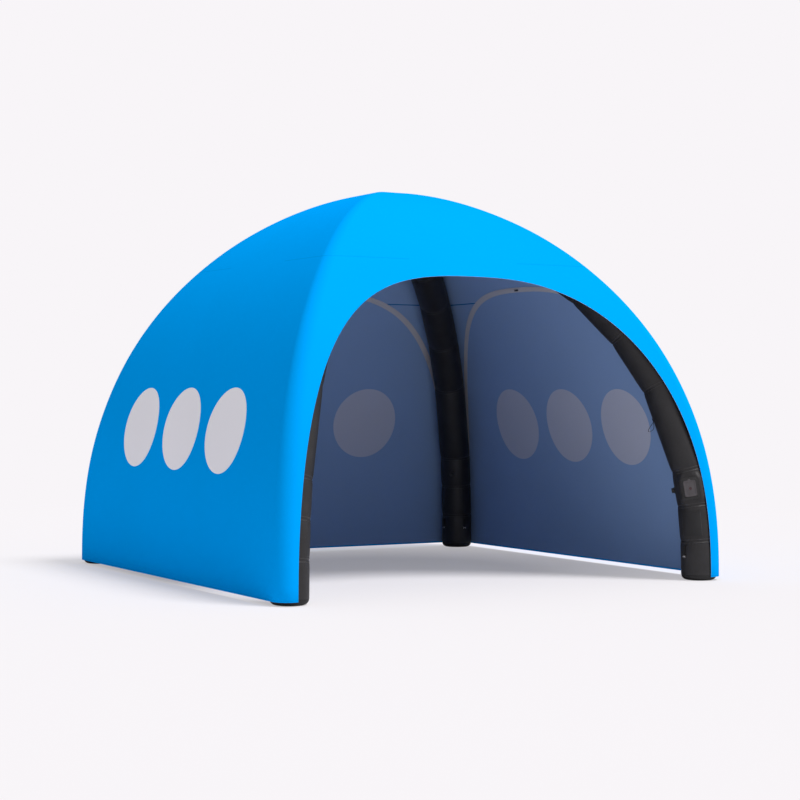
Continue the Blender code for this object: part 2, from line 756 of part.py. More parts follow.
def along_outward(place):
    """A frame's Z turned to point outward, for a turned piece."""
    return place @ Matrix.Rotation(-math.pi / 2, 4, "X")


def rod(radius, low, high):
    """A profile for a plain cylinder."""
    return [(0, low), (radius, low), (radius, high), (0, high)]


def port_cutter(name, place, material):
    profile = rod(VALVE_PORT_RADIUS + GAP, -2 * VALVE_STEM, OVERRUN)
    return add_object(name, turned(profile, ROUND_STEPS), material, along_outward(place))


def relief_valve(corner, sleeve, bladder, plastic):
    """A valve body through sleeve and bladder, and a grip cap that screws on it."""
    place = fitting_frame(corner, 0, VALVE_HEIGHT)
    for obj in (sleeve, bladder):
        cut(obj, port_cutter(f"cutter_port_{obj.name}", place, plastic))
    flange_top = GAP + VALVE_FLANGE_THICKNESS
    spigot_top = flange_top + CAP_HEIGHT - CAP_TOP
    body = [
        (VALVE_BORE_RADIUS, -VALVE_STEM),
        (VALVE_PORT_RADIUS, -VALVE_STEM),
        (VALVE_PORT_RADIUS, GAP),
        (VALVE_FLANGE_RADIUS, GAP),
        (VALVE_FLANGE_RADIUS, flange_top - VALVE_FLANGE_EDGE),
        (VALVE_FLANGE_RADIUS - VALVE_FLANGE_EDGE, flange_top),
        (VALVE_PORT_RADIUS, flange_top),
        (VALVE_PORT_RADIUS, spigot_top),
        (VALVE_BORE_RADIUS, spigot_top),
    ]
    add_object(f"valve_body_{corner}", turned(body, ROUND_STEPS), plastic, along_outward(place))
    low = flange_top + GAP
    high = flange_top + CAP_HEIGHT
    bore = VALVE_PORT_RADIUS + RUNNING_GAP
    cap = [
        (0, high),
        (CAP_RADIUS - CAP_EDGE, high),
        (CAP_RADIUS, high - CAP_EDGE),
        (CAP_RADIUS, low),
        (bore, low),
        (bore, spigot_top + GAP),
        (0, spigot_top + GAP),
    ]
    mesh = turned(cap, CAP_STEPS)
    for vert in mesh.verts:
        reach = math.hypot(vert.co.x, vert.co.y)
        step = round(math.atan2(vert.co.y, vert.co.x) / math.tau * CAP_STEPS)
        if reach > bore + CAP_GRIP_DEPTH and step % 2:
            vert.co.xy *= 1 - CAP_GRIP_DEPTH / reach
    add_object(f"valve_cap_{corner}", mesh, plastic, along_outward(place))


def pump_housing(place, bodies, material):
    """The pump's case, set through the leg, with a recess for the door and a notch for its tab."""
    window = rounded_outline(HOUSING_WIDTH + 2 * GAP, HOUSING_LENGTH + 2 * GAP, HOUSING_CORNER + GAP)
    for obj in bodies:
        cutter = prism(window, -HOUSING_DEPTH - OVERRUN, HOUSING_PROUD + OVERRUN)
        cut(obj, add_object(f"cutter_window_{obj.name}", cutter, material, place))
    outline = rounded_outline(HOUSING_WIDTH, HOUSING_LENGTH, HOUSING_CORNER)
    housing = add_object("pump_housing", prism(outline, -HOUSING_DEPTH, HOUSING_PROUD), material, place)

    # The recess is nearly square at the hinge, where the door's round corners swing down into it.
    wide = DOOR_WIDTH + 2 * DOOR_CLEARANCE
    long = DOOR_LENGTH + DOOR_CLEARANCE + DOOR_FOOT_CLEARANCE
    outline = rounded_outline(wide, long, DOOR_CORNER + DOOR_CLEARANCE, foot_corner=DOOR_FOOT_CORNER)
    recess = prism(outline, RECESS_FLOOR, HOUSING_PROUD + OVERRUN)
    bmesh.ops.translate(recess, verts=recess.verts, vec=(0, 0, (DOOR_CLEARANCE - DOOR_FOOT_CLEARANCE) / 2))
    cut(housing, add_object("cutter_recess", recess, material, place))
    notch = prism(tab_outline(DOOR_CLEARANCE), -DOOR_THICKNESS, HOUSING_PROUD + OVERRUN)
    cut(housing, add_object("cutter_notch", notch, material, place))
    reach = DOOR_WIDTH / 2 + PIN_LENGTH + DOOR_CLEARANCE
    bore = turned(rod(PIN_RADIUS + RUNNING_GAP, -reach, reach), ROUND_STEPS)
    cut(housing, add_object("cutter_pin_bore", bore, material, along_pin(place)))


def tab_outline(clearance):
    """The thumb tab at the door's upper edge, in the pump's frame."""
    wide = DOOR_TAB_WIDTH + 2 * clearance
    long = 2 * (DOOR_TAB_LENGTH + clearance)
    return [(x, z + DOOR_LENGTH / 2) for x, z in rounded_outline(wide, long, DOOR_TAB_LENGTH / 2)]


def pin_frame(place):
    """The hinge of the pump's door: X runs along the pin."""
    middle = (0, DOOR_FACE - DOOR_THICKNESS / 2, (DOOR_THICKNESS - DOOR_LENGTH) / 2)
    return place @ Matrix.Translation(middle)


def along_pin(place):
    return pin_frame(place) @ Matrix.Rotation(math.pi / 2, 4, "Y")


def pump_door(place, material):
    """A framed door on two pin ends, rounded about them, with a thumb tab and a hole for the button."""
    origin = pin_frame(place)
    to_pin = place.inverted() @ origin
    mesh = prism(rounded_outline(DOOR_WIDTH, DOOR_LENGTH, DOOR_CORNER), DOOR_BACK, DOOR_FACE)
    low = (DOOR_THICKNESS - DOOR_LENGTH) / 2
    foot_edges = [
        edge for edge in mesh.edges
        if all(vert.co.z < low for vert in edge.verts)
        and abs(edge.verts[0].co.y - edge.verts[1].co.y) < GAP
    ]
    bmesh.ops.bevel(
        mesh, geom=foot_edges, offset=DOOR_THICKNESS / 2 - GAP, segments=FILLET_STEPS, profile=0.5,
        affect="EDGES",
    )
    mesh.transform(to_pin.inverted())
    door = add_object("pump_door", mesh, material, origin)

    rim = 2 * DOOR_RIM_WIDTH
    field_outline = rounded_outline(DOOR_WIDTH - rim, DOOR_LENGTH - rim, DOOR_CORNER / 2)
    field = prism(field_outline, DOOR_FACE - DOOR_RIM_DEPTH, DOOR_FACE + OVERRUN)
    cut(door, add_object("cutter_field", field, material, place))
    reach = DOOR_WIDTH / 2 + PIN_LENGTH
    pin = turned(rod(PIN_RADIUS, -reach, reach), ROUND_STEPS)
    cut(door, add_object("cutter_pin", pin, material, along_pin(place)), "UNION")
    tab = prism(tab_outline(0), DOOR_FACE - DOOR_THICKNESS / 2, DOOR_FACE + DOOR_TAB_PROUD)
    cut(door, add_object("cutter_tab", tab, material, place), "UNION")
    hole = turned(rod(BUTTON_RADIUS + GAP, DOOR_BACK - OVERRUN, DOOR_FACE + OVERRUN), CAP_STEPS)
    cut(door, add_object("cutter_button", hole, material, along_outward(place)))


def power_button(place, material):
    """A round button, held behind the door by its lip."""
    field = DOOR_FACE - DOOR_RIM_DEPTH
    seat = DOOR_BACK - GAP
    lip = BUTTON_RADIUS + BUTTON_LIP
    profile = [
        (0, seat - BUTTON_LIP_THICKNESS),
        (lip, seat - BUTTON_LIP_THICKNESS),
        (lip, seat),
        (BUTTON_RADIUS, seat),
        (BUTTON_RADIUS, field + BUTTON_PROUD - BUTTON_EDGE),
        (BUTTON_RADIUS - BUTTON_EDGE, field + BUTTON_PROUD),
        (0, field + BUTTON_PROUD),
    ]
    add_object("power_button", turned(profile, CAP_STEPS), material, along_outward(place))


def pump_motor(place, material):
    """The pump itself, on the back of its case inside the leg."""
    start = -HOUSING_DEPTH - GAP
    neck = start - MOTOR_NECK_LENGTH
    end = neck - MOTOR_LENGTH
    profile = [
        (0, end),
        (MOTOR_RADIUS - MOTOR_EDGE, end),
        (MOTOR_RADIUS, end + MOTOR_EDGE),
        (MOTOR_RADIUS, neck - MOTOR_EDGE),
        (MOTOR_NECK_RADIUS, neck),
        (MOTOR_NECK_RADIUS, start),
        (0, start),
    ]
    add_object("pump_motor", turned(profile, ROUND_STEPS), material, along_outward(place))


def leg_pocket(material):
    """A flat pocket sewn round the front right leg, following its facets."""
    skins, faces = {}, []
    places = band_places()
    low = max(place for place in places if place <= POCKET_LOW)
    high = places[places.index(low) + 1]
    first = -LEG_SIDES // 4 - POCKET_FACETS // 2
    for level, length in enumerate((POCKET_LOW, POCKET_HIGH)):
        centre, _, inward, sideways = chord_frame(PUMP_CORNER, low, high, length)
        for column in range(POCKET_FACETS + 1):
            turn = math.tau * (first + column) / LEG_SIDES
            outward = inward * math.cos(turn) + sideways * math.sin(turn)
            radii = (LEG_RADIUS + 2 * GAP + POCKET_THICKNESS, LEG_RADIUS + 2 * GAP)
            skins[level, column] = [centre + outward * radius for radius in radii]
    for column in range(POCKET_FACETS):
        faces.append([(0, column), (0, column + 1), (1, column + 1), (1, column)])
    return add_object("leg_pocket", slab(skins, faces), material)


def webbing_loop(material):
    """A loop of webbing: both ends sewn flat on the leg, and the bight hanging clear of it."""
    place = fitting_frame(PUMP_CORNER, 0, LOOP_HEIGHT)
    back = GAP + WEBBING / 2
    front = back + WEBBING + WEBBING_SPLIT
    path = [(back, LOOP_SEWN), (back, 0)]
    steps = 2 * BEND_STEPS
    for step in range(1, steps):
        turn = math.tau * step / steps
        fall = (1 - math.cos(turn)) / 2
        start = back + (front - back) * step / steps
        out = start + (LOOP_LEAN - LOOP_OPENING / 2 * math.sin(turn)) * fall
        path.append((out, -LOOP_DROP * fall))
    path += [(front, 0), (front, LOOP_SEWN)]
    return add_object("webbing_loop", ribbon(path, WEBBING, LOOP_WIDTH), material, place)


def build():
    clear_scene()
    roof_cloth = finish_of("roof_cloth", (0.0, 0.36, 1.0), 0.75)
    wall_cloth = finish_of("wall_cloth", (0.0, 0.3, 0.9), 0.75)
    tape = finish_of("zip_tape", (0.1, 0.1, 0.12), 0.7)
    sleeve_cloth = finish_of("sleeve_cloth", (0.02, 0.02, 0.024), 0.6)
    film = finish_of("bladder_film", (0.4, 0.42, 0.45), 0.4)
    rubber = finish_of("foot_rubber", (0.01, 0.01, 0.012), 0.7)
    webbing = finish_of("webbing", (0.015, 0.015, 0.02), 0.8)
    steel = finish_of("ring_steel", (0.6, 0.6, 0.62), 0.3, 1)
    plastic = finish_of("valve_plastic", (0.02, 0.02, 0.024), 0.45)
    panel = finish_of("panel_plastic", (0.16, 0.15, 0.155), 0.5)
    accent = finish_of("button_plastic", (0.12, 0.1, 0.11), 0.5)

    for side in SIDES:
        roof_panel(side, roof_cloth)
        zip_band(side, tape)
        if side != "front":
            wall_panel(side, wall_cloth)
            zip_slider(side, steel)
    for corner in CORNERS:
        sleeve = leg_sleeve(corner, sleeve_cloth)
        bladder = leg_bladder(corner, film)
        foot(corner, rubber)
        ring_pair(corner, webbing, steel)
        relief_valve(corner, sleeve, bladder, plastic)
        if corner == PUMP_CORNER:
            place = fitting_frame(corner, -math.pi / 2, PUMP_HEIGHT)
            pump_housing(place, (sleeve, bladder), plastic)
            pump_door(place, panel)
            power_button(place, accent)
            pump_motor(place, plastic)
    waist = LEG_RADIUS - BAND_DEPTH
    crown_cross("crown_sleeve", waist, SLEEVE_THICKNESS, LEG_SIDES, False, sleeve_cloth)
    crown_cross("crown_bladder", BLADDER_RADIUS, BLADDER_THICKNESS, BLADDER_SIDES, True, film)
    leg_pocket(webbing)
    webbing_loop(webbing)


build()
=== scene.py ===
"""Looks of the inflatable tent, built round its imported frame.

Metres, Z up, in the frame of the CAD. A place on a side of the tent is given by x across and s, the
length up the cloth from its hem. A place on a leg is given by the length up it and the turn round it.
"""

import math

import bpy
from mathutils import Matrix, Vector, noise


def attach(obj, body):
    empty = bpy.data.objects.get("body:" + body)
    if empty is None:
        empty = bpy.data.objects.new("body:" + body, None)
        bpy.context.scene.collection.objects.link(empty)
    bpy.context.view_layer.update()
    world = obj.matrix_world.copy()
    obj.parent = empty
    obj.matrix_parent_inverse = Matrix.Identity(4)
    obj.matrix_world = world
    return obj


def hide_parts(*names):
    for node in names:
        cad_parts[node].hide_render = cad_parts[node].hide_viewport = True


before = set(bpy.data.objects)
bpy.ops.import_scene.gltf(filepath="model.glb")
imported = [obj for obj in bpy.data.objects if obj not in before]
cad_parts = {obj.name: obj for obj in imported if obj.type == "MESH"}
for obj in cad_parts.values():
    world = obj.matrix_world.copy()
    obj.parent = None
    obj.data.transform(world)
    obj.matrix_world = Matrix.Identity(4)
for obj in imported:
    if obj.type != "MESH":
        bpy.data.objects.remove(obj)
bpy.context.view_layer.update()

# Roof and doorway, as in the CAD
HALF_WIDTH = 2.0
HEM_HEIGHT = 0.03
ROOF_DEPTH = 0.778
ARCH_RISE = 2.385
WIDTH_EXPONENT = 1.758
RISE_EXPONENT = 2.345
ARCH_WIDTH_EXPONENT = 2.72
ARCH_RISE_EXPONENT = 2.3
CORNER_RADIUS = 0.12
EDGE_STRIP = 0.0243

# Roof and wall cloth
CLOTH_THICKNESS = 0.0011
HEM_FOLD = 0.014
HEM_BEND = 0.0022
FOLD_GAP = 0.0003
SWELL = 0.0035
SWELL_SIZE = 0.55
OUTSIDE_SEAM = 2.54
OUTSIDE_SEAM_START = 0.5
OUTSIDE_SEAM_WIDTH = 0.006
INSIDE_SEAM = 2.33
INSIDE_SEAM_WIDTH = 0.01

# Printed circles on each wall
PRINT_RADIUS = 0.335
PRINT_HEIGHT = 1.197
PRINT_PITCH = 0.83
PRINT_EDGE = 0.001

# Arch zip: a tape in the depth that its solid holds, and its coil up to 0.2 mm deeper
ZIP_WIDTH = 0.05
ZIP_DEPTH = 0.0028
ZIP_TAPE = 0.0012
ZIP_COIL = 0.001
ZIP_SEAM = 0.021
ZIP_ROLL_START = 1

# Legs and crown, as in the CAD, but the air tubes have 0.1 mm less radius and start 4 mm higher
LEG_RADIUS = 0.1425
LEG_DEPTH = 0.1479
BAND_DEPTH = 0.005
BAND_REACH = 0.04
LOW_BAND_PITCH = 0.2887
LONG_BAND_PITCH = 0.726
CROWN_REACH = 0.357
CROWN_MIDDLE = 0.24
CROWN_NECK_SHARE = 1.12
CROWN_FACING_SHARE = 0.6
CROWN_ROLL_START = 0.06
CROWN_ROWS_PER_METRE = 30
FOOT_SEAT = 0.0136
BLADDER_RADIUS = 0.132
BLADDER_SEAT = 0.0676

# Sleeve cloth
SLEEVE_THICKNESS = 0.0018
WELT_SPREAD = 0.0125
WELT_WIDTH = 0.0055
WELT_HEIGHT = 0.0026
PUCKER = 0.0018
PUCKER_PLACE = 0.034
PUCKER_REACH = 0.022
SLACK = 0.0009
SLACK_PER_METRE = 3
PUCKER_SEED = 37
PUCKER_WAVES = 19
PUCKER_DRIFT = 4
PUCKER_DRIFT_WAVES = 3
PUCKER_SHARE = 0.6
FINE_PUCKER_WAVES = 31
FINE_PUCKER_SHARE = 0.4
FILM_THICKNESS = 0.001

# Rows of a sleeve: their distances from a seam band, and their pitch beyond
BAND_ROWS = (0, 0.003, 0.006, 0.009, 0.0115, 0.014, 0.017, 0.021, 0.026, 0.032, 0.04, 0.05, 0.06)
SLEEVE_ROW_PITCH = 0.03
PUMP_ROW_PITCH = 0.007

# Feet
FOOT_HEIGHT = 0.043
SOLE_RADIUS = 0.104
SOLE_GROOVE = 0.0015
SOLE_EDGE_SHARE = 0.92
GROOVE_START_SHARE = 0.8
GROOVE_END_SHARE = 0.9
FOOT_SHOULDER_RADIUS = 0.1405
FOOT_SHOULDER_LAND = 0.002
FOOT_EDGE = 0.001
PLUG_RADIUS = 0.1299
PLUG_HEIGHT = 0.05
PLUG_EDGE = 0.003
PLUG_WALL = 0.012
FOOT_FLOOR = 0.02

# Ground rings and their tabs
RING_HEIGHT = 0.175
RING_WIDTH = 0.046
RING_DROP = 0.043
RING_WIRE = 0.005
RING_CORNER = 0.005
TAB_LENGTH = 0.075
TAB_WIDTH = 0.0303
TAB_SEAM = 0.0115
TAB_BEND_END = 0.75
WEBBING = 0.002
WEBBING_SPLIT = 0.0004
WEBBING_EDGE = 0.0004
RIB_PITCH = 0.002
WEBBING_STITCH_PITCH = 0.004
WEBBING_STITCH_WIDTH = 0.001

# Relief valves
VALVE_HEIGHT = 0.715
VALVE_PORT_RADIUS = 0.012
VALVE_BORE_RADIUS = 0.007
VALVE_STEM = 0.024
VALVE_FLANGE_RADIUS = 0.027
VALVE_FLANGE_THICKNESS = 0.004
VALVE_EDGE = 0.0018
PORT_CUT = 0.0165
CAP_RADIUS = 0.0205
CAP_HEIGHT = 0.02
CAP_TOP = 0.0065
CAP_EDGE = 0.002
CAP_GRIP_DEPTH = 0.0014
CAP_GRIP_INSET = 0.0004
CAP_DISH = 0.001
CAP_DISH_SHARE = 0.68
CAP_FLAT_SHARE = 0.74
CAP_BEVEL_SHARE = 0.3
CAP_SIDE_SHARE = 0.98
FLUTE_PITCH_SIDES = 3

# Pump in the front right leg
PUMP_HEIGHT = 0.715
HOUSING_WIDTH = 0.136
HOUSING_LENGTH = 0.178
HOUSING_CORNER = 0.026
HOUSING_DEPTH = 0.05
HOUSING_PROUD = 0.003
HOUSING_EDGE = 0.0012
LIP_INSET = 0.0095
LIP_HEIGHT = 0.0016
DOOR_WIDTH = 0.1
DOOR_LENGTH = 0.134
DOOR_CORNER = 0.018
DOOR_FOOT_CORNER = 0.003
DOOR_FOOT_CLEARANCE = 0.0012
DOOR_THICKNESS = 0.008
DOOR_SUNK = 0.0005
DOOR_RIM_WIDTH = 0.009
DOOR_RIM_DEPTH = 0.0018
DOOR_EDGE = 0.0004
DOOR_TAB_WIDTH = 0.02
DOOR_TAB_LENGTH = 0.008
DOOR_TAB_PROUD = 0.0025
DOOR_CLEARANCE = 0.0006
FIELD_INSET = 0.006
FIELD_GROOVE = 0.0008
PIN_RADIUS = 0.002
PIN_LENGTH = 0.004
BUTTON_RADIUS = 0.012
BUTTON_PROUD = 0.0018
BUTTON_TRAVEL = 0.002
BUTTON_LIP = 0.0018
BUTTON_LIP_THICKNESS = 0.001
BUTTON_EDGE = 0.0006
BUTTON_DISH = 0.0007
BUTTON_FLAT_SHARE = 0.75
BUTTON_SLOPE_SHARE = 0.6
BUTTON_SLOPE_DEPTH_SHARE = 0.7
SHOULDER_WIDTH = 0.045
SHOULDER_STEP = 0.0042
SHOULDER_FOLD = 0.0032
FOLD_TURN_ACROSS = 160
FOLD_TURN_UP = 55

# Pocket and webbing loop on the front right leg
POCKET_LOW = 0.335
POCKET_HIGH = 0.53
POCKET_FIRST_TURN = math.radians(-112.5)
POCKET_LAST_TURN = math.radians(-45)
POCKET_SEAT = 0.003
POCKET_SWELL = 0.0035
POCKET_HEM = 0.014
POCKET_HEM_STEP = 0.0008
POCKET_FULLNESS = 0.6
POCKET_MOUTH_SHARE = 0.86
LOOP_HEIGHT = 1.33
LOOP_WIDTH = 0.02
LOOP_LEAN = 0.05
LOOP_OPENING = 0.068
LOOP_DROP = 0.066
LOOP_SEWN = 0.028
LOOP_SEAM = 0.007

# Clearances and tolerances
GAP = 0.0003
RUNNING_GAP = 0.00035
OVERRUN = 0.01
MERGE = 0.00002
PANEL_MERGE = 0.0002
MIRROR_MERGE = 0.0001
LEVEL_NORMAL = 0.9
UPRIGHT_NORMAL = 0.1

# Counts
ARCH_ROWS = 14
ROOF_ROWS = 9
CLOTH_ROWS = 4
FLAT_COLUMNS = 16
CORNER_COLUMNS = 10
LOW_BANDS = 3
HIGH_BANDS = 5
SLEEVE_SIDES = 120
CROWN_SIDES = 60
FILM_SIDES = 32
AXIS_SAMPLES = 240
ROUND_STEPS = 96
SMALL_ROUND_STEPS = 48
CORNER_STEPS = 8
CAP_SIDES = 72
CROWN_STEPS = 6
HEM_STEPS = 3
SOLE_STEPS = 12
WIRE_SIDES = 16
RING_CORNER_STEPS = 6
RING_BOW_STEPS = 16
WEBBING_COLUMNS = 6
TAB_SEWN_STEPS = 6
TAB_BEND_STEPS = 16
TAB_CURVE_STEPS = 5
LOOP_SEWN_STEPS = 4
EDGE_SEGMENTS = 3
DOOR_FOOT_SEGMENTS = 5
POCKET_COLUMNS = 28
POCKET_ROWS = 26
LOOP_STEPS = 48
SOFT_ANGLE = math.radians(45)

# Derived sizes
CROWN_RISE = ARCH_RISE + ROOF_DEPTH
ARCH_HALF_WIDTH = HALF_WIDTH - CORNER_RADIUS - EDGE_STRIP
FOLD_DEPTH = 2 * CLOTH_THICKNESS + FOLD_GAP
FOOT_PLACE = HALF_WIDTH - LEG_DEPTH
FLANGE_TOP = GAP + VALVE_FLANGE_THICKNESS
SPIGOT_TOP = FLANGE_TOP + CAP_HEIGHT - CAP_TOP
DOOR_FACE = HOUSING_PROUD - DOOR_SUNK
DOOR_MIDDLE = DOOR_FACE - DOOR_THICKNESS / 2
DOOR_BACK = DOOR_FACE - DOOR_THICKNESS
RECESS_FLOOR = DOOR_BACK - BUTTON_LIP_THICKNESS - BUTTON_TRAVEL - 2 * GAP
PIN_UP = (DOOR_THICKNESS - DOOR_LENGTH) / 2
ROUNDING = RUNNING_GAP / 10

SIDES = {"front": 0, "right": 1, "back": 2, "left": 3}
CORNERS = {"front_left": (-1, -1), "front_right": (1, -1), "back_right": (1, 1), "back_left": (-1, 1)}
PUMP_CORNER = "front_right"


# Shape of the roof

def power(base, exponent):
    return max(base, 0) ** exponent


def profile_row(rise):
    """(half width, rise, outward normal's two parts) of the roof at a height above its hem."""
    half = HALF_WIDTH * power(1 - power(rise / CROWN_RISE, RISE_EXPONENT), 1 / WIDTH_EXPONENT)
    out = WIDTH_EXPONENT / HALF_WIDTH * power(half / HALF_WIDTH, WIDTH_EXPONENT - 1)
    up = RISE_EXPONENT / CROWN_RISE * power(rise / CROWN_RISE, RISE_EXPONENT - 1)
    size = math.hypot(out, up)
    return half, rise, out / size, up / size


def arch_place(row, count=ARCH_ROWS):
    """(half width, rise) of the doorway's edge at one of its rows."""
    turn = math.pi / 2 * row / count
    width = ARCH_HALF_WIDTH * power(math.cos(turn), 2 / ARCH_WIDTH_EXPONENT)
    rise = ARCH_RISE * power(math.sin(turn), 2 / ARCH_RISE_EXPONENT)
    return (0 if row == count else width), rise


def rows_of(arch_count, roof_count):
    """The rows of one side, as (s, half width, rise, normal out, normal up), from hem to apex."""
    rises = [arch_place(row, arch_count)[1] for row in range(arch_count + 1)]
    start = math.asin(power(ARCH_RISE / CROWN_RISE, RISE_EXPONENT / 2))
    for row in range(1, roof_count + 1):
        turn = start + (math.pi / 2 - start) * row / roof_count
        rises.append(CROWN_RISE * power(math.sin(turn), 2 / RISE_EXPONENT))
    rises[-1] = CROWN_RISE
    rows, length = [], 0
    for rise in rises:
        place = profile_row(rise)
        if rows:
            length += math.hypot(place[0] - rows[-1][1], place[1] - rows[-1][2])
        rows.append((length, *place))
    return rows


LEG_ROWS = rows_of(ARCH_ROWS, ROOF_ROWS)
FINE_ARCH = ARCH_ROWS * CLOTH_ROWS
FINE_ROOF = ROOF_ROWS * CLOTH_ROWS
FINE_ROWS = rows_of(FINE_ARCH, FINE_ROOF)


def row_where(column, value, rows):
    """The row where one of its values, which grow up the side, is reached."""
    value = min(max(value, 0), rows[-1][column])
    high = next(i for i, row in enumerate(rows) if row[column] >= value and i > 0)
    low_row, high_row = rows[high - 1], rows[high]
    share = (value - low_row[column]) / (high_row[column] - low_row[column])
    return tuple(a + (b - a) * share for a, b in zip(low_row, high_row))


def row_at(s, rows=FINE_ROWS):
    """The row at a length up the side."""
    return row_where(0, s, rows)


def length_at(height):
    """The length up a side to a height above the ground."""
    return row_where(2, height - HEM_HEIGHT, FINE_ROWS)[0]


def side_turn(side):
    return Matrix.Rotation(math.pi / 2 * SIDES[side], 4, "Z")


def on_skin(side, point, normal, depth):
    """A point under the roof's skin, which swells out a little between the places that hold it."""
    turn = side_turn(side)
    point = turn @ point
    swell = SWELL * (0.5 + 0.5 * noise.noise(point / SWELL_SIZE))
    return point + turn.to_3x3() @ normal * (swell - depth)


def side_point(side, x, row, depth):
    """A point on the flat of a side, at a depth under its outer face."""
    _, half, rise, out, up = row
    return on_skin(side, Vector((x, -half, HEM_HEIGHT + rise)), Vector((0, -out, up)), depth)


def corner_radius(row):
    """The corner's radius, which closes with height as the leg under it leans over."""
    _, half, _, out, up = row
    if out <= 0:
        return 0
    bend_share = (math.sqrt(2 / (1 + up * up)) - 1) / (math.sqrt(2) - 1)
    lean_share = math.sqrt(1 + up * up) / out
    return min(CORNER_RADIUS * bend_share * lean_share, half)


def corner_point(side, hand, row, share, depth):
    """A point on the rounded corner at one end of a side. A share of 1 is the ridge."""
    _, half, rise, out, up = row
    radius = corner_radius(row)
    turn = math.pi / 4 * share
    sine, cosine = math.sin(turn), math.cos(turn)
    x = half - radius + radius * sine
    point = Vector((hand * x, radius - half - radius * cosine, HEM_HEIGHT + rise))
    normal = Vector((hand * out * sine, -out * cosine, up * (sine + cosine))).normalized()
    return on_skin(side, point, normal, depth)


# Modelling

def deselect():
    bpy.ops.object.select_all(action="DESELECT")


def only(obj):
    """Makes this the one object that operators act on."""
    deselect()
    obj.select_set(True)
    bpy.context.view_layer.objects.active = obj


def pick_mode(kind):
    bpy.context.tool_settings.mesh_select_mode = (kind == "VERT", kind == "EDGE", kind == "FACE")


def edit(obj, kind="FACE"):
    """Edit mode with all selected, in face, edge or vertex selection."""
    only(obj)
    pick_mode(kind)
    bpy.ops.object.mode_set(mode="EDIT")
    bpy.ops.mesh.select_all(action="SELECT")


def select_faces(obj, test):
    """Selects the faces whose middle and normal pass a test, in edit mode."""
    bpy.ops.object.mode_set(mode="OBJECT")
    pick_mode("FACE")
    for group in (obj.data.vertices, obj.data.edges):
        group.foreach_set("select", [False] * len(group))
    for face in obj.data.polygons:
        face.select = test(face.center, face.normal)
    bpy.ops.object.mode_set(mode="EDIT")


def select_edges(obj, test):
    """Selects the edges whose middle and way from end to end pass a test, in edit mode."""
    bpy.ops.object.mode_set(mode="OBJECT")
    pick_mode("EDGE")
    mesh = obj.data
    for group in (mesh.vertices, mesh.polygons):
        group.foreach_set("select", [False] * len(group))
    for edge in mesh.edges:
        first, second = (mesh.vertices[index].co for index in edge.vertices)
        edge.select = test((first + second) / 2, second - first)
    bpy.ops.object.mode_set(mode="EDIT")


def close_up():
    """Merges what meets, turns the faces outwards and leaves edit mode."""
    bpy.ops.mesh.select_all(action="SELECT")
    bpy.ops.mesh.remove_doubles(threshold=MERGE)
    bpy.ops.mesh.normals_make_consistent(inside=False)
    bpy.ops.object.mode_set(mode="OBJECT")


def apply_modifier(obj, kind, **settings):
    """Adds one modifier and applies it."""
    only(obj)
    made = obj.modifiers.new(kind.lower(), kind)
    for key, value in settings.items():
        setattr(made, key, value)
    bpy.ops.object.modifier_apply(modifier=made.name)


def smooth(obj, angle=SOFT_ANGLE):
    only(obj)
    bpy.ops.object.shade_smooth_by_angle(angle=angle)


def soften(obj, width, segments=2):
    """Small round edges, and smooth shading between them."""
    apply_modifier(
        obj, "BEVEL", width=width, segments=segments, limit_method="ANGLE", angle_limit=SOFT_ANGLE
    )
    smooth(obj)


def cut(obj, other):
    """Cuts another piece out of one, and removes the other."""
    apply_modifier(obj, "BOOLEAN", object=other, operation="DIFFERENCE", solver="EXACT")
    bpy.data.objects.remove(other, do_unlink=True)


def join(pieces, name):
    """Several pieces as one object."""
    deselect()
    for piece in pieces:
        piece.select_set(True)
    bpy.context.view_layer.objects.active = pieces[0]
    bpy.ops.object.join()
    made = bpy.context.object
    made.name = name
    return made


def set_down(obj, place):
    """Moves a finished piece from its bench to its place, inside its mesh."""
    only(obj)
    obj.matrix_world = place
    bpy.ops.object.transform_apply(location=True, rotation=True, scale=True)


def copied(obj, name):
    """A copy with its own mesh."""
    twin = obj.copy()
    twin.data = obj.data.copy()
    twin.name = name
    bpy.context.scene.collection.objects.link(twin)
    return twin


def wear(obj, body, slot, material, *nodes):
    """Gives a piece its material, its body and the solids that it stands for. Its slot is not used."""
    obj.data.materials.clear()
    obj.data.materials.append(material)
    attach(obj, body)
    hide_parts(*nodes)


def turned(name, profile, steps=ROUND_STEPS):
    """A profile of (radius, height) points spun about Z."""
    deselect()
    bpy.ops.mesh.primitive_plane_add(size=1)
    obj = bpy.context.object
    obj.name = name
    edit(obj, "VERT")
    bpy.ops.mesh.merge(type="CENTER")
    bpy.ops.transform.translate(value=(profile[0][0], 0, profile[0][1]))
    for (radius, height), (next_radius, next_height) in zip(profile, profile[1:]):
        move = (next_radius - radius, 0, next_height - height)
        bpy.ops.mesh.extrude_vertices_move(TRANSFORM_OT_translate={"value": move})
    bpy.ops.mesh.select_all(action="SELECT")
    bpy.ops.mesh.spin(steps=steps, angle=math.tau, center=(0, 0, 0), axis=(0, 0, 1))
    close_up()
    return obj


def rod(name, radius, low, high):
    return turned(name, [(0, low), (radius, low), (radius, high), (0, high)], SMALL_ROUND_STEPS)


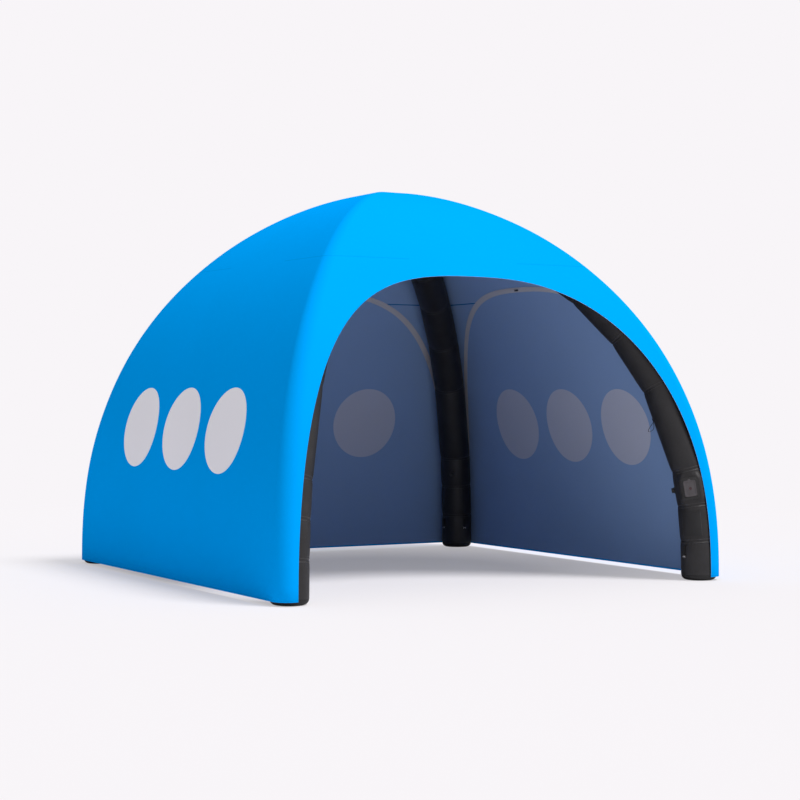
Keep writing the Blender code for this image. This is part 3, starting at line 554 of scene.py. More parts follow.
def plate(name, width, length, corner, low, high, foot_corner=None):
    """A rounded rectangle in XY, drawn up from low to high. Its corners at -Y may differ."""
    deselect()
    bpy.ops.mesh.primitive_plane_add(size=1, location=(0, 0, low))
    obj = bpy.context.object
    obj.name = name
    obj.scale = (width, length, 1)
    bpy.ops.object.transform_apply(location=True, rotation=False, scale=True)
    for hand, radius in ((1, corner), (-1, corner if foot_corner is None else foot_corner)):
        for vert in obj.data.vertices:
            vert.select = vert.co.y * hand > 0 and abs(abs(vert.co.y) - length / 2) < GAP
        for group in (obj.data.edges, obj.data.polygons):
            group.foreach_set("select", [False] * len(group))
        only(obj)
        pick_mode("VERT")
        bpy.ops.object.mode_set(mode="EDIT")
        bpy.ops.mesh.bevel(offset=radius, segments=CORNER_STEPS, affect="VERTICES")
        bpy.ops.object.mode_set(mode="OBJECT")
    edit(obj)
    bpy.ops.mesh.extrude_region_move(TRANSFORM_OT_translate={"value": (0, 0, high - low)})
    close_up()
    return obj


def cloth_from_roll(name, columns, rows, place, keeps=None):
    """A flat woven sheet, laid on the tent. place gives each crossing of its grid a point, and where it
    was on the roll in metres. keeps, where given, says of a cell and its middle whether it is kept."""
    deselect()
    bpy.ops.mesh.primitive_grid_add(x_subdivisions=columns, y_subdivisions=rows, size=2)
    cloth = bpy.context.object
    cloth.name = name
    mesh = cloth.data
    keys = [(round((v.co.x + 1) / 2 * columns), round((v.co.y + 1) / 2 * rows)) for v in mesh.vertices]
    laid = {key: place(*key) for key in keys}
    roll = mesh.uv_layers.active or mesh.uv_layers.new()
    roll.name = "roll"
    for face in mesh.polygons:
        corners = [keys[index] for index in face.vertices]
        middle = sum((laid[key][0] for key in corners), Vector()) / len(corners)
        cell = (min(key[0] for key in corners), min(key[1] for key in corners))
        face.select = keeps is not None and not keeps(*cell, middle)
        for loop in face.loop_indices:
            roll.data[loop].uv = laid[keys[mesh.loops[loop].vertex_index]][1]
    for vert, key in zip(mesh.vertices, keys):
        vert.co = laid[key][0]
    pick_mode("FACE")
    bpy.ops.object.mode_set(mode="EDIT")
    if keeps is not None:
        bpy.ops.mesh.delete(type="FACE")
    close_up()
    return cloth


def face_away(cloth, middle_of):
    """Turns an open sheet so that its faces look away from the middle that each one has."""
    mesh = cloth.data
    total = sum(
        (face.center - middle_of(face.center)).dot(face.normal) * face.area for face in mesh.polygons
    )
    if total < 0:
        mesh.flip_normals()


def thicken(cloth, thickness, lining=0):
    """Gives a sheet its thickness under its face. The lining is a step to another material."""
    apply_modifier(cloth, "SOLIDIFY", thickness=thickness, offset=-1.0, material_offset=lining)
    smooth(cloth)


# Materials

def linear(code):
    """A hex sRGB colour as Blender's linear one."""
    parts = [int(code[i:i + 2], 16) / 255 for i in (0, 2, 4)]
    return (*[c / 12.92 if c <= 0.04045 else ((c + 0.055) / 1.055) ** 2.4 for c in parts], 1.0)


def add(tree, kind, links=None, output=0, **settings):
    """A node with its settings and inputs, each a value or another's output. Returns one output."""
    node = tree.nodes.new(kind)
    for key, value in settings.items():
        setattr(node, key, value)
    for key, value in (links or {}).items():
        if isinstance(value, bpy.types.NodeSocket):
            tree.links.new(value, node.inputs[key])
        else:
            node.inputs[key].default_value = value
    return node.outputs[output]


def new_finish(name, **sockets):
    """A material with what is the same all over set on its shader's own sockets."""
    material = bpy.data.materials.new(name)
    material.use_nodes = True
    shader = material.node_tree.nodes["Principled BSDF"]
    for key, value in sockets.items():
        shader.inputs[key.replace("_", " ")].default_value = value
    return material, material.node_tree, shader


def thread_relief(tree, across, along, pitch):
    """The height of crossed threads along and across the roll."""
    waves = []
    for axis in (across, along):
        turn = add(tree, "ShaderNodeMath", {0: axis, 1: math.tau / pitch}, operation="MULTIPLY")
        waves.append(add(tree, "ShaderNodeMath", {0: turn}, operation="SINE"))
    return add(tree, "ShaderNodeMath", {0: waves[0], 1: waves[1]}, operation="MULTIPLY")


def line_at(tree, across, at, width):
    """A factor that is 1 on a line of some width at a distance across."""
    away = add(tree, "ShaderNodeMath", {0: across, 1: at}, operation="SUBTRACT")
    near = add(tree, "ShaderNodeMath", {0: away}, operation="ABSOLUTE")
    return add(tree, "ShaderNodeMath", {0: near, 1: width / 2}, operation="LESS_THAN")


def stitch_row(tree, across, along, at, pitch, width):
    """A factor that is 1 on the stitches of a row at a distance across, with a pitch along."""
    step = add(tree, "ShaderNodeMath", {0: along, 1: pitch}, operation="DIVIDE")
    part = add(tree, "ShaderNodeMath", {0: step}, operation="FRACT")
    on_stitch = add(tree, "ShaderNodeMath", {0: part, 1: STITCH_SHARE}, operation="LESS_THAN")
    on_row = line_at(tree, across, at, width)
    return add(tree, "ShaderNodeMath", {0: on_row, 1: on_stitch}, operation="MULTIPLY")


# Polyester threads are about 0.4 mm apart, too fine to show, so the weave is drawn at 3 mm.
CLOTH_THREAD = 0.003
# Lockstitches are about 4 mm long and 0.8 mm thick. They are drawn at 8 mm by 2 mm to show at all.
STITCH_PITCH = 0.008
STITCH_WIDTH = 0.002
STITCH_SHARE = 0.7
DULL_THREAD = "4A484B"
# A Mix node for colours takes its factor at 0 and the colours at 6 and 7, and gives their mix at 2.
COLOUR_MIX = {"output": 2, "data_type": "RGBA"}
# Pitch and depth of the grain on a moulding
COARSE_GRAIN = (0.0012, 0.0004)
FINE_GRAIN = (0.0008, 0.0002)
# How far the roughness of handled metal goes down and up
BRIGHT_SPOT = 0.07
DULL_SPOT = 0.12


def roof_polyester(name, colour, faded, thread, printed=None, print_faded=None, seam=None):
    """Dyed woven polyester, coated on its back: matt, without a highlight, in soft tonal patches.
    The roll's UV map, in metres, carries the threads, the hem's stitches and the printed circles."""
    material, tree, shader = new_finish(name, Roughness=0.85, Specular_IOR_Level=0.0)
    roll = add(tree, "ShaderNodeUVMap", uv_map="roll")
    across, up, _ = add(tree, "ShaderNodeSeparateXYZ", {0: roll}).node.outputs
    aside = add(tree, "ShaderNodeMath", {0: across}, operation="ABSOLUTE")
    place = add(tree, "ShaderNodeTexCoord", output="Object")
    patches = add(tree, "ShaderNodeTexNoise", {"Vector": place, "Scale": 0.8, "Detail": 2.0})
    fine = add(tree, "ShaderNodeTexNoise", {"Vector": place, "Scale": 60.0, "Detail": 3.0})
    shade = add(tree, "ShaderNodeMath", {0: fine, 1: 0.25, 2: patches}, operation="MULTIPLY_ADD")
    level = add(tree, "ShaderNodeMapRange", {"Value": shade, "From Min": 0.35, "From Max": 0.9})
    tone = add(tree, "ShaderNodeMix", {0: level, 6: linear(colour), 7: linear(faded)}, **COLOUR_MIX)
    if printed:
        # The nearer of the middle circle and the two beside it, then inside or outside its edge.
        lift = add(tree, "ShaderNodeMath", {0: up, 1: PRINT_HEIGHT}, operation="SUBTRACT")
        beyond = add(tree, "ShaderNodeMath", {0: aside, 1: PRINT_PITCH}, operation="SUBTRACT")
        beside = add(tree, "ShaderNodeMath", {0: beyond}, operation="ABSOLUTE")
        nearest = add(tree, "ShaderNodeMath", {0: aside, 1: beside}, operation="MINIMUM")
        flat = add(tree, "ShaderNodeCombineXYZ", {0: nearest, 1: lift})
        reach = add(tree, "ShaderNodeVectorMath", {0: flat}, output="Value", operation="LENGTH")
        edge = {
            "Value": reach, "From Min": PRINT_RADIUS - PRINT_EDGE, "From Max": PRINT_RADIUS + PRINT_EDGE,
            "To Min": 1.0, "To Max": 0.0,
        }
        inside = add(tree, "ShaderNodeMapRange", edge)
        inks = {0: level, 6: linear(printed), 7: linear(print_faded)}
        ink = add(tree, "ShaderNodeMix", inks, **COLOUR_MIX)
        tone = add(tree, "ShaderNodeMix", {0: inside, 6: tone, 7: ink}, **COLOUR_MIX)
    if seam:
        height, start, width, seam_colour = seam
        on_seam = line_at(tree, up, height, width)
        reached = add(tree, "ShaderNodeMath", {0: aside, 1: start}, operation="GREATER_THAN")
        shown = add(tree, "ShaderNodeMath", {0: on_seam, 1: reached}, operation="MULTIPLY")
        sewn = {0: shown, 6: tone, 7: linear(seam_colour)}
        tone = add(tree, "ShaderNodeMix", sewn, **COLOUR_MIX)
    hem = stitch_row(tree, up, across, HEM_FOLD - STITCH_WIDTH, STITCH_PITCH, STITCH_WIDTH)
    tone = add(tree, "ShaderNodeMix", {0: hem, 6: tone, 7: linear(thread)}, **COLOUR_MIX)
    tree.links.new(tone, shader.inputs["Base Color"])
    weave = thread_relief(tree, across, up, CLOTH_THREAD)
    woven = add(tree, "ShaderNodeBump", {"Height": weave, "Distance": 0.0002, "Strength": 0.3})
    soft = {"Height": patches, "Distance": 0.01, "Strength": 0.15, "Normal": woven}
    tree.links.new(add(tree, "ShaderNodeBump", soft), shader.inputs["Normal"])
    return material


def sleeve_polyester(name, colour, worn, roughness):
    """Black polyester with a smooth polyurethane coat: broad soft lights, fine creases, dull thread
    in a row each side of a seam band, which the roll's UV map places."""
    material, tree, shader = new_finish(name, Roughness=roughness, Specular_IOR_Level=0.36)
    roll = add(tree, "ShaderNodeUVMap", uv_map="roll")
    across, up, _ = add(tree, "ShaderNodeSeparateXYZ", {0: roll}).node.outputs
    place = add(tree, "ShaderNodeTexCoord", output="Object")
    dust = add(tree, "ShaderNodeTexNoise", {"Vector": place, "Scale": 7.0, "Detail": 6.0, "Roughness": 0.6})
    level = add(tree, "ShaderNodeMapRange", {"Value": dust, "From Min": 0.4, "From Max": 0.75})
    tone = add(tree, "ShaderNodeMix", {0: level, 6: linear(colour), 7: linear(worn)}, **COLOUR_MIX)
    away = add(tree, "ShaderNodeMath", {0: up}, operation="ABSOLUTE")
    sewn = stitch_row(tree, away, across, WELT_SPREAD, STITCH_PITCH, STITCH_WIDTH)
    tone = add(tree, "ShaderNodeMix", {0: sewn, 6: tone, 7: linear(DULL_THREAD)}, **COLOUR_MIX)
    tree.links.new(tone, shader.inputs["Base Color"])
    folds = {"Vector": place, "Scale": 16.0, "Detail": 5.0, "Distortion": 0.6}
    creases = add(tree, "ShaderNodeTexNoise", folds)
    weave = thread_relief(tree, across, up, CLOTH_THREAD)
    woven = add(tree, "ShaderNodeBump", {"Height": weave, "Distance": 0.0002, "Strength": 0.35})
    creased = {"Height": creases, "Distance": 0.004, "Strength": 0.22, "Normal": woven}
    stitched = {"Height": sewn, "Distance": 0.0008, "Strength": 0.5}
    stitched["Normal"] = add(tree, "ShaderNodeBump", creased)
    tree.links.new(add(tree, "ShaderNodeBump", stitched), shader.inputs["Normal"])
    return material


def woven_webbing(name, colour, ridge, thread, seam):
    """Nylon woven in ribs about 2 mm apart across its length, with a painted highlight on each rib's crest
    and a row of stitches near each edge.
    """
    material, tree, shader = new_finish(name, Roughness=0.75, Specular_IOR_Level=0.35)
    roll = add(tree, "ShaderNodeUVMap", uv_map="roll")
    across, along, _ = add(tree, "ShaderNodeSeparateXYZ", {0: roll}).node.outputs
    wave = add(tree, "ShaderNodeMath", {0: along, 1: math.tau / RIB_PITCH}, operation="MULTIPLY")
    rib = add(tree, "ShaderNodeMath", {0: wave}, operation="SINE")
    # Painted highlight: the raised crest of each rib takes the lighter second colour.
    level = add(tree, "ShaderNodeMapRange", {"Value": rib, "From Min": -1.0, "From Max": 1.0})
    tone = add(tree, "ShaderNodeMix", {0: level, 6: linear(colour), 7: linear(ridge)}, **COLOUR_MIX)
    away = add(tree, "ShaderNodeMath", {0: across}, operation="ABSOLUTE")
    sewn = stitch_row(tree, away, along, seam, WEBBING_STITCH_PITCH, WEBBING_STITCH_WIDTH)
    tone = add(tree, "ShaderNodeMix", {0: sewn, 6: tone, 7: linear(thread)}, **COLOUR_MIX)
    tree.links.new(tone, shader.inputs["Base Color"])
    ribbed = add(tree, "ShaderNodeBump", {"Height": rib, "Distance": 0.0003, "Strength": 0.6})
    stitched = {"Height": sewn, "Distance": 0.0005, "Strength": 0.5, "Normal": ribbed}
    tree.links.new(add(tree, "ShaderNodeBump", stitched), shader.inputs["Normal"])
    return material


def moulded(name, colour, worn, roughness, grain):
    """An injection moulding from a spark-eroded tool: a fine even grain, a little dust in its tone."""
    pitch, depth = grain
    material, tree, shader = new_finish(name, Roughness=roughness, Specular_IOR_Level=0.45)
    place = add(tree, "ShaderNodeTexCoord", output="Object")
    dust = add(tree, "ShaderNodeTexNoise", {"Vector": place, "Scale": 22.0, "Detail": 5.0})
    level = add(tree, "ShaderNodeMapRange", {"Value": dust, "From Min": 0.4, "From Max": 0.7})
    tone = add(tree, "ShaderNodeMix", {0: level, 6: linear(colour), 7: linear(worn)}, **COLOUR_MIX)
    tree.links.new(tone, shader.inputs["Base Color"])
    spark = add(tree, "ShaderNodeTexNoise", {"Vector": place, "Scale": 1 / pitch, "Detail": 2.0})
    grained = add(tree, "ShaderNodeBump", {"Height": spark, "Distance": depth, "Strength": 0.5})
    tree.links.new(grained, shader.inputs["Normal"])
    return material


def zinc_metal(name, colour, dull, roughness):
    """Steel wire with a bright zinc coat, or cast zinc: metal with dull spots where it is handled."""
    material, tree, shader = new_finish(name, Metallic=1.0)
    place = add(tree, "ShaderNodeTexCoord", output="Object")
    spots = add(tree, "ShaderNodeTexNoise", {"Vector": place, "Scale": 90.0, "Detail": 4.0})
    tone = add(tree, "ShaderNodeMix", {0: spots, 6: linear(colour), 7: linear(dull)}, **COLOUR_MIX)
    tree.links.new(tone, shader.inputs["Base Color"])
    ends = {"Value": spots, "To Min": roughness - BRIGHT_SPOT, "To Max": roughness + DULL_SPOT}
    tree.links.new(add(tree, "ShaderNodeMapRange", ends), shader.inputs["Roughness"])
    pitted = add(tree, "ShaderNodeBump", {"Height": spots, "Distance": 0.0001, "Strength": 0.3})
    tree.links.new(pitted, shader.inputs["Normal"])
    return material


def welded_film(name, colour, milky):
    """Polyurethane film, blown and welded: satin, slightly milky, with shallow wrinkles."""
    material, tree, shader = new_finish(name, Roughness=0.35, Specular_IOR_Level=0.5)
    place = add(tree, "ShaderNodeTexCoord", output="Object")
    cloud = add(tree, "ShaderNodeTexNoise", {"Vector": place, "Scale": 9.0, "Detail": 4.0})
    tone = add(tree, "ShaderNodeMix", {0: cloud, 6: linear(colour), 7: linear(milky)}, **COLOUR_MIX)
    tree.links.new(tone, shader.inputs["Base Color"])
    wrinkled = add(tree, "ShaderNodeBump", {"Height": cloud, "Distance": 0.004, "Strength": 0.3})
    tree.links.new(wrinkled, shader.inputs["Normal"])
    return material


DYE = ("00A2FC", "009FF6", "0A6FB4")
LINING = ("90AEDC", "8BA9D6", "7090C0")
outside_seam = (length_at(OUTSIDE_SEAM), OUTSIDE_SEAM_START, OUTSIDE_SEAM_WIDTH, "0094E6")
inside_seam = (length_at(INSIDE_SEAM), 0.0, INSIDE_SEAM_WIDTH, "0A66A8")
roof_outside = roof_polyester("sky_blue_roof_polyester", *DYE, seam=outside_seam)
roof_inside = roof_polyester("coated_back_of_roof_polyester", *LINING, seam=inside_seam)
wall_outside = roof_polyester("sky_blue_wall_polyester", *DYE, "F8F7FE", "F4F3FA")
wall_inside = roof_polyester("coated_back_of_wall_polyester", *LINING, "C6CCE0", "C1C7DB")
sleeve_black = sleeve_polyester("black_coated_sleeve_polyester", "1C1B1D", "262527", 0.48)
pocket_black = sleeve_polyester("black_pocket_polyester", "19191B", "222123", 0.6)
# The second colour of each webbing is the painted highlight on its rib crests.
zip_grey = woven_webbing("grey_zip_tape", "C4C4CC", "CCCCD3", "A4A4AC", ZIP_SEAM)
webbing_black = woven_webbing("black_nylon_webbing", "121213", "1D1D1F", "2C2C2E", TAB_SEAM)
loop_black = woven_webbing("narrow_black_nylon_webbing", "121213", "1D1D1F", "2C2C2E", LOOP_SEAM)
bladder_film = welded_film("welded_polyurethane_film", "8C9094", "A0A4A8")
foot_rubber = moulded("moulded_black_rubber", "111112", "1B1B1C", 0.7, COARSE_GRAIN)
black_nylon = moulded("moulded_black_nylon", "161617", "1F1F20", 0.45, FINE_GRAIN)
grey_nylon = moulded("moulded_warm_grey_nylon", "4F4B4E", "575356", 0.5, FINE_GRAIN)
button_rubber = moulded("moulded_dark_red_rubber", "402A2E", "483236", 0.55, FINE_GRAIN)
ring_steel = zinc_metal("zinc_plated_steel_wire", "D8D8DA", "B4B4B8", 0.25)
slider_zinc = zinc_metal("dark_cast_zinc", "6C6C70", "55555A", 0.4)


# Canopy: one continuous sheet over the four sides, its hem folded in and sewn

def hem_rows(last):
    """The rows of a sheet from the fold inside its hem up to a last row, as (row, depth, roll length)."""
    rows = [
        (row_at(HEM_FOLD), FOLD_DEPTH, -HEM_FOLD - HEM_BEND),
        (row_at(HEM_BEND), FOLD_DEPTH, -HEM_BEND),
        (row_at(0), FOLD_DEPTH / 2, 0),
        (row_at(HEM_BEND), 0, HEM_BEND),
    ]
    return rows + [(row, 0, row[0]) for row in FINE_ROWS[1:last + 1]]


CANOPY_ROWS = hem_rows(FINE_ARCH + FINE_ROOF)


def edge_of(level):
    """The doorway's half width at a row of a hemmed sheet."""
    return arch_place(max(level - HEM_STEPS, 0), FINE_ARCH)[0]


def canopy_place(side):
    """Where the roof's cloth goes on one side. Its middle column opens round the arch."""
    half = FLAT_COLUMNS + CORNER_COLUMNS

    def place(column, level):
        hand = -1 if column <= half else 1
        step = half - column if column <= half else column - half - 1
        row, depth, length = CANOPY_ROWS[level]
        flat = row[1] - corner_radius(row)
        inner = edge_of(level) if level <= FINE_ARCH + HEM_STEPS else 0
        if step <= FLAT_COLUMNS:
            x = inner + (flat - inner) * step / FLAT_COLUMNS
            return side_point(side, hand * x, row, depth), (hand * x, length)
        share = (step - FLAT_COLUMNS) / CORNER_COLUMNS
        across = flat + corner_radius(row) * math.pi / 4 * share
        return corner_point(side, hand, row, share, depth), (hand * across, length)
    return place


def finish_cloth(cloth, outside, inside, slot, *nodes):
    """Turns a cloth's face out of the tent, lines it, and gives it its body and its solids. Its slot is not
    used.
    """
    face_away(cloth, lambda place: Vector((0, 0, 0)))
    cloth.data.materials.append(outside)
    cloth.data.materials.append(inside)
    thicken(cloth, CLOTH_THICKNESS, lining=1)
    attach(cloth, "tent")
    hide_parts(*nodes)


def make_canopy():
    half = FLAT_COLUMNS + CORNER_COLUMNS
    opens_to = FINE_ARCH + HEM_STEPS
    panels = []
    for side in SIDES:
        panels.append(cloth_from_roll(
            f"canopy_{side}", 2 * half + 1, len(CANOPY_ROWS) - 1, canopy_place(side),
            keeps=lambda column, level, middle: column != half or level >= opens_to,
        ))
    canopy = join(panels, "canopy")
    edit(canopy)
    bpy.ops.mesh.remove_doubles(threshold=PANEL_MERGE)
    close_up()
    finish_cloth(canopy, roof_outside, roof_inside, "roof_cloth", *[f"roof_{side}" for side in SIDES])
    return canopy


def make_wall(side):
    """The sheet in an arch, with the three circles printed on both its faces."""
    columns = 2 * FLAT_COLUMNS
    rows = hem_rows(FINE_ARCH)

    def place(column, level):
        row, depth, length = rows[level]
        x = edge_of(level) * (2 * column / columns - 1)
        return side_point(side, x, row, depth), (x, length)

    wall = cloth_from_roll(f"wall_cloth_{side}", columns, len(rows) - 1, place)
    finish_cloth(wall, wall_outside, wall_inside, "wall_cloth", f"wall_{side}")
    return wall


def area_of(widths):
    """The area of cloth with these half widths at the rows of a side."""
    return sum(
        (low + high) * (high_row[0] - low_row[0])
        for low, high, low_row, high_row in zip(widths, widths[1:], FINE_ROWS, FINE_ROWS[1:])
    )


canopy = make_canopy()
WALL_AREA = area_of([arch_place(row, FINE_ARCH)[0] for row in range(FINE_ARCH + 1)])
ROOF_AREA = 4 * (area_of([row[1] for row in FINE_ROWS]) - WALL_AREA)
# Walls in the doorways of every side but the front.
for side in SIDES:
    if side != "front":
        make_wall(side)


# Arch zips: a tape with its coil in relief along the whole arch

TAPE_SECTION_SHARES = (
    (-0.5, 0), (-0.44, 0), (-0.16, 0), (-0.12, 0.2), (-0.07, 1), (-0.02, 0.7),
    (0.02, 0.7), (0.07, 1), (0.12, 0.2), (0.16, 0), (0.44, 0), (0.5, 0),
)


def arch_line(offset):
    """(x, s) points beside the doorway's edge, from its foot to its top, offset away from the opening."""
    line = [(arch_place(i, FINE_ARCH)[0], FINE_ROWS[i][0]) for i in range(FINE_ARCH + 1)]
    moved = []
    for i, (x, s) in enumerate(line):
        if i == 0:
            away = Vector((1, 0))
        elif i == FINE_ARCH:
            away = Vector((0, 1))
        else:
            along = Vector(line[i + 1]) - Vector(line[i - 1])
            away = Vector((along.y, -along.x)).normalized()
        moved.append((max(x + away.x * offset, 0), s + away.y * offset))
    return moved


def make_zip(side):
    """The open side keeps the half of the tape that is sewn to the roof."""
    section = TAPE_SECTION_SHARES
    if side == "front":
        section = [spot for spot in section if spot[0] > 0]
    lines = [arch_line(share * ZIP_WIDTH) for share, _ in section]

    def place(column, level):
        hand = -1 if level <= FINE_ARCH else 1
        step = level if level <= FINE_ARCH else 2 * FINE_ARCH - level
        x, s = lines[column][step]
        depth = ZIP_DEPTH + ZIP_TAPE + ZIP_COIL * section[column][1]
        roll = section[column][0] * ZIP_WIDTH, hand * (s + ZIP_ROLL_START)
        return side_point(side, hand * x, row_at(s), depth), roll

    tape = cloth_from_roll(f"zip_tape_{side}", len(section) - 1, 2 * FINE_ARCH, place)
    # The coil is on the tape's inner face, so its faces look into the tent.
    face_away(tape, lambda spot: spot * 2)
    thicken(tape, ZIP_TAPE)
    wear(tape, "tent", "zip_tape", zip_grey, f"arch_zip_{side}")
    line = arch_line(0)


for side in SIDES:
    make_zip(side)


# Shape of the legs

def axis_table():
    """(length, s) pairs along a leg's axis, from its foot to the crown."""
    table, last, length = [], None, 0
    for sample in range(AXIS_SAMPLES + 1):
        s = LEG_ROWS[-1][0] * sample / AXIS_SAMPLES
        _, half, rise, out, up = row_at(s, LEG_ROWS)
        point = Vector((half - LEG_DEPTH * out, half - LEG_DEPTH * out, rise - LEG_DEPTH * up))
        if last is not None:
            length += (point - last).length
        table.append((length, s))
        last = point
    return table


AXIS = axis_table()
LEG_LENGTH = AXIS[-1][0] - CROWN_REACH
LONG_BAND = LOW_BANDS * LOW_BAND_PITCH + LONG_BAND_PITCH
HIGH_BAND_PITCH = (LEG_LENGTH - LONG_BAND) / HIGH_BANDS


def axis_frame(corner, length):
    """(centre, inward, sideways) of a leg's axis at a length from its foot."""
    high = next(i for i, pair in enumerate(AXIS) if pair[0] >= length and i > 0)
    low_pair, high_pair = AXIS[high - 1], AXIS[high]
    share = (length - low_pair[0]) / (high_pair[0] - low_pair[0])
    _, half, rise, out, up = row_at(low_pair[1] + (high_pair[1] - low_pair[1]) * share, LEG_ROWS)
    sx, sy = CORNERS[corner]
    place = half - LEG_DEPTH * out
    centre = Vector((sx * place, sy * place, HEM_HEIGHT + rise - LEG_DEPTH * up))
    along = Vector((-sx * up, -sy * up, out)).normalized()
    sideways = Vector((-sy, sx, 0)).normalized()
    inward = along.cross(sideways).normalized()
    if inward.dot(Vector((-sx, -sy, 0))) < 0:
        inward = -inward
    return centre, inward, sideways


def level_frame(corner, length):
    """The axis frame turned level, for an end that sits flat on the foot."""
    centre, _, sideways = axis_frame(corner, length)
    inward = sideways.cross(Vector((0, 0, 1)))
    if inward.dot(centre) > 0:
        inward = -inward
    return centre, inward, sideways


def band_places():
    """Lengths along a leg of its seat on the foot, its seam bands and its end at the crown."""
    low = [LOW_BAND_PITCH * (band + 1) for band in range(LOW_BANDS)]
    high = [LONG_BAND + HIGH_BAND_PITCH * band for band in range(HIGH_BANDS)]
    return [FOOT_SEAT] + low + high + [LEG_LENGTH]


BANDS = band_places()


def between(first, second, share):
    return tuple(a.lerp(b, share) for a, b in zip(first, second))


def chord_frame(corner, low, high, length):
    """The axis frame on the straight run between two bands."""
    ends = axis_frame(corner, low), axis_frame(corner, high)
    centre, inward, sideways = between(*ends, (length - low) / (high - low))
    return centre, inward.normalized(), sideways


def run_of(length):
    """The bands below and above a length."""
    low = max(place for place in BANDS[:-1] if place <= length + ROUNDING)
    return low, BANDS[BANDS.index(low) + 1]


def run_ends(corner, length):
    """(start, its frame, stop, its frame) of the plain cylinder between two bands."""
    low, high = run_of(length)
    start, stop = low + BAND_REACH, high - BAND_REACH
    first = chord_frame(corner, low, high, start)
    if low == BANDS[0]:
        start, first = low, level_frame(corner, low)
    return start, first, stop, chord_frame(corner, low, high, stop)


def leg_frame(corner, length):
    """(centre, inward, sideways) of a leg at a length, along its straight runs between bands."""
    start, first, stop, last = run_ends(corner, length)
    if start <= length <= stop:
        return between(first, last, (length - start) / (stop - start))
    return chord_frame(corner, *run_of(length), length)


def frame_of(point, across, outward):
    """A matrix with X across, Y outward and Z the third way, at a point."""
    place = Matrix((across, outward, across.cross(outward).normalized())).transposed().to_4x4()
    place.translation = point
    return place


def fitting_frame(corner, turn, length):
    """A frame on a leg's outside: Y outward, Z up along the leg, at a turn from its inner side."""
    start, first, stop, last = run_ends(corner, length)
    ends = []
    for centre, inward, sideways in (first, last):
        outward = inward * math.cos(turn) + sideways * math.sin(turn)
        ends.append((centre + outward * LEG_RADIUS, outward))
    point, outward = between(*ends, (length - start) / (stop - start))
    along = (ends[1][0] - ends[0][0]).normalized()
    across = outward.cross(along).normalized()
    return frame_of(point, across, along.cross(across))


def bench(place):
    """A fitting frame for work drawn on the bench in XY, with Z outward and Y up the leg."""
    across, outward, upward = (place.to_3x3().col[i] for i in range(3))
    turned_place = Matrix((-across, upward, outward)).transposed().to_4x4()
    turned_place.translation = place.translation
    return turned_place


PUMP_PLACE = fitting_frame(PUMP_CORNER, -math.pi / 2, PUMP_HEIGHT)
TO_PUMP = PUMP_PLACE.inverted()
VALVE_PLACES = {corner: fitting_frame(corner, 0, VALVE_HEIGHT) for corner in CORNERS}
TO_VALVE = {corner: place.inverted() for corner, place in VALVE_PLACES.items()}


# Sleeves: sewn tubes, gathered a little at each seam band

def sleeve_levels():
    """Lengths of a sleeve's rows: close together at the bands and at the pump's and valves' height."""
    margin = BAND_ROWS[-1]
    levels = {BANDS[0], BANDS[-1]}
    for low, high in zip(BANDS, BANDS[1:]):
        if low != BANDS[0]:
            levels |= {low + step for step in BAND_ROWS}
        levels |= {high - step for step in BAND_ROWS}
        plain = high - low - 2 * margin
        runs = round(plain / (PUMP_ROW_PITCH if low < PUMP_HEIGHT < high else SLEEVE_ROW_PITCH))
        levels |= {low + margin + plain * run / runs for run in range(1, runs)}
    ordered = sorted(levels)
    return [low for low, high in zip(ordered, ordered[1:]) if high - low > GAP] + [ordered[-1]]


def seam_distance(length):
    """(how far a length lies above its nearest band, negative below it, that band's own length)."""
    nearest = min(BANDS[1:], key=lambda place: abs(place - length))
    return length - nearest, nearest


def sleeve_radius(length, turn):
    """The sleeve's radius: drawn in at a band, with a sewn welt each side of it and small puckers."""
    above, nearest = seam_distance(length)
    away = abs(above)
    radius = LEG_RADIUS
    if away < BAND_REACH:
        radius -= BAND_DEPTH * (0.5 + 0.5 * math.cos(math.pi * away / BAND_REACH))
        radius += WELT_HEIGHT * max(0.0, 1 - ((away - WELT_SPREAD) / WELT_WIDTH) ** 2)
    gathered = math.exp(-((away - PUCKER_PLACE) / PUCKER_REACH) ** 2)
    seed = nearest * PUCKER_SEED
    drift = PUCKER_DRIFT * math.sin(PUCKER_DRIFT_WAVES * turn + seed)
    wave = PUCKER_SHARE * math.sin(PUCKER_WAVES * turn + drift)
    wave += FINE_PUCKER_SHARE * math.sin(FINE_PUCKER_WAVES * turn + seed)
    slack = noise.noise(Vector((math.cos(turn), math.sin(turn), length * SLACK_PER_METRE + seed)))
    return radius - PUCKER * gathered * (0.5 - 0.5 * wave) - SLACK * (0.5 - 0.5 * slack)


def housing_reach(x, z):
    """(distance outside the case's rounded outline, way out) at a place in the pump's frame."""
    dx = abs(x) - (HOUSING_WIDTH / 2 - HOUSING_CORNER)
    dz = abs(z) - (HOUSING_LENGTH / 2 - HOUSING_CORNER)
    hand_x, hand_z = math.copysign(1, x), math.copysign(1, z)
    if dx > 0 and dz > 0:
        reach = math.hypot(dx, dz)
        return reach - HOUSING_CORNER, (hand_x * dx / reach, hand_z * dz / reach)
    return max(dx, dz) - HOUSING_CORNER, ((hand_x, 0) if dx > dz else (0, hand_z))


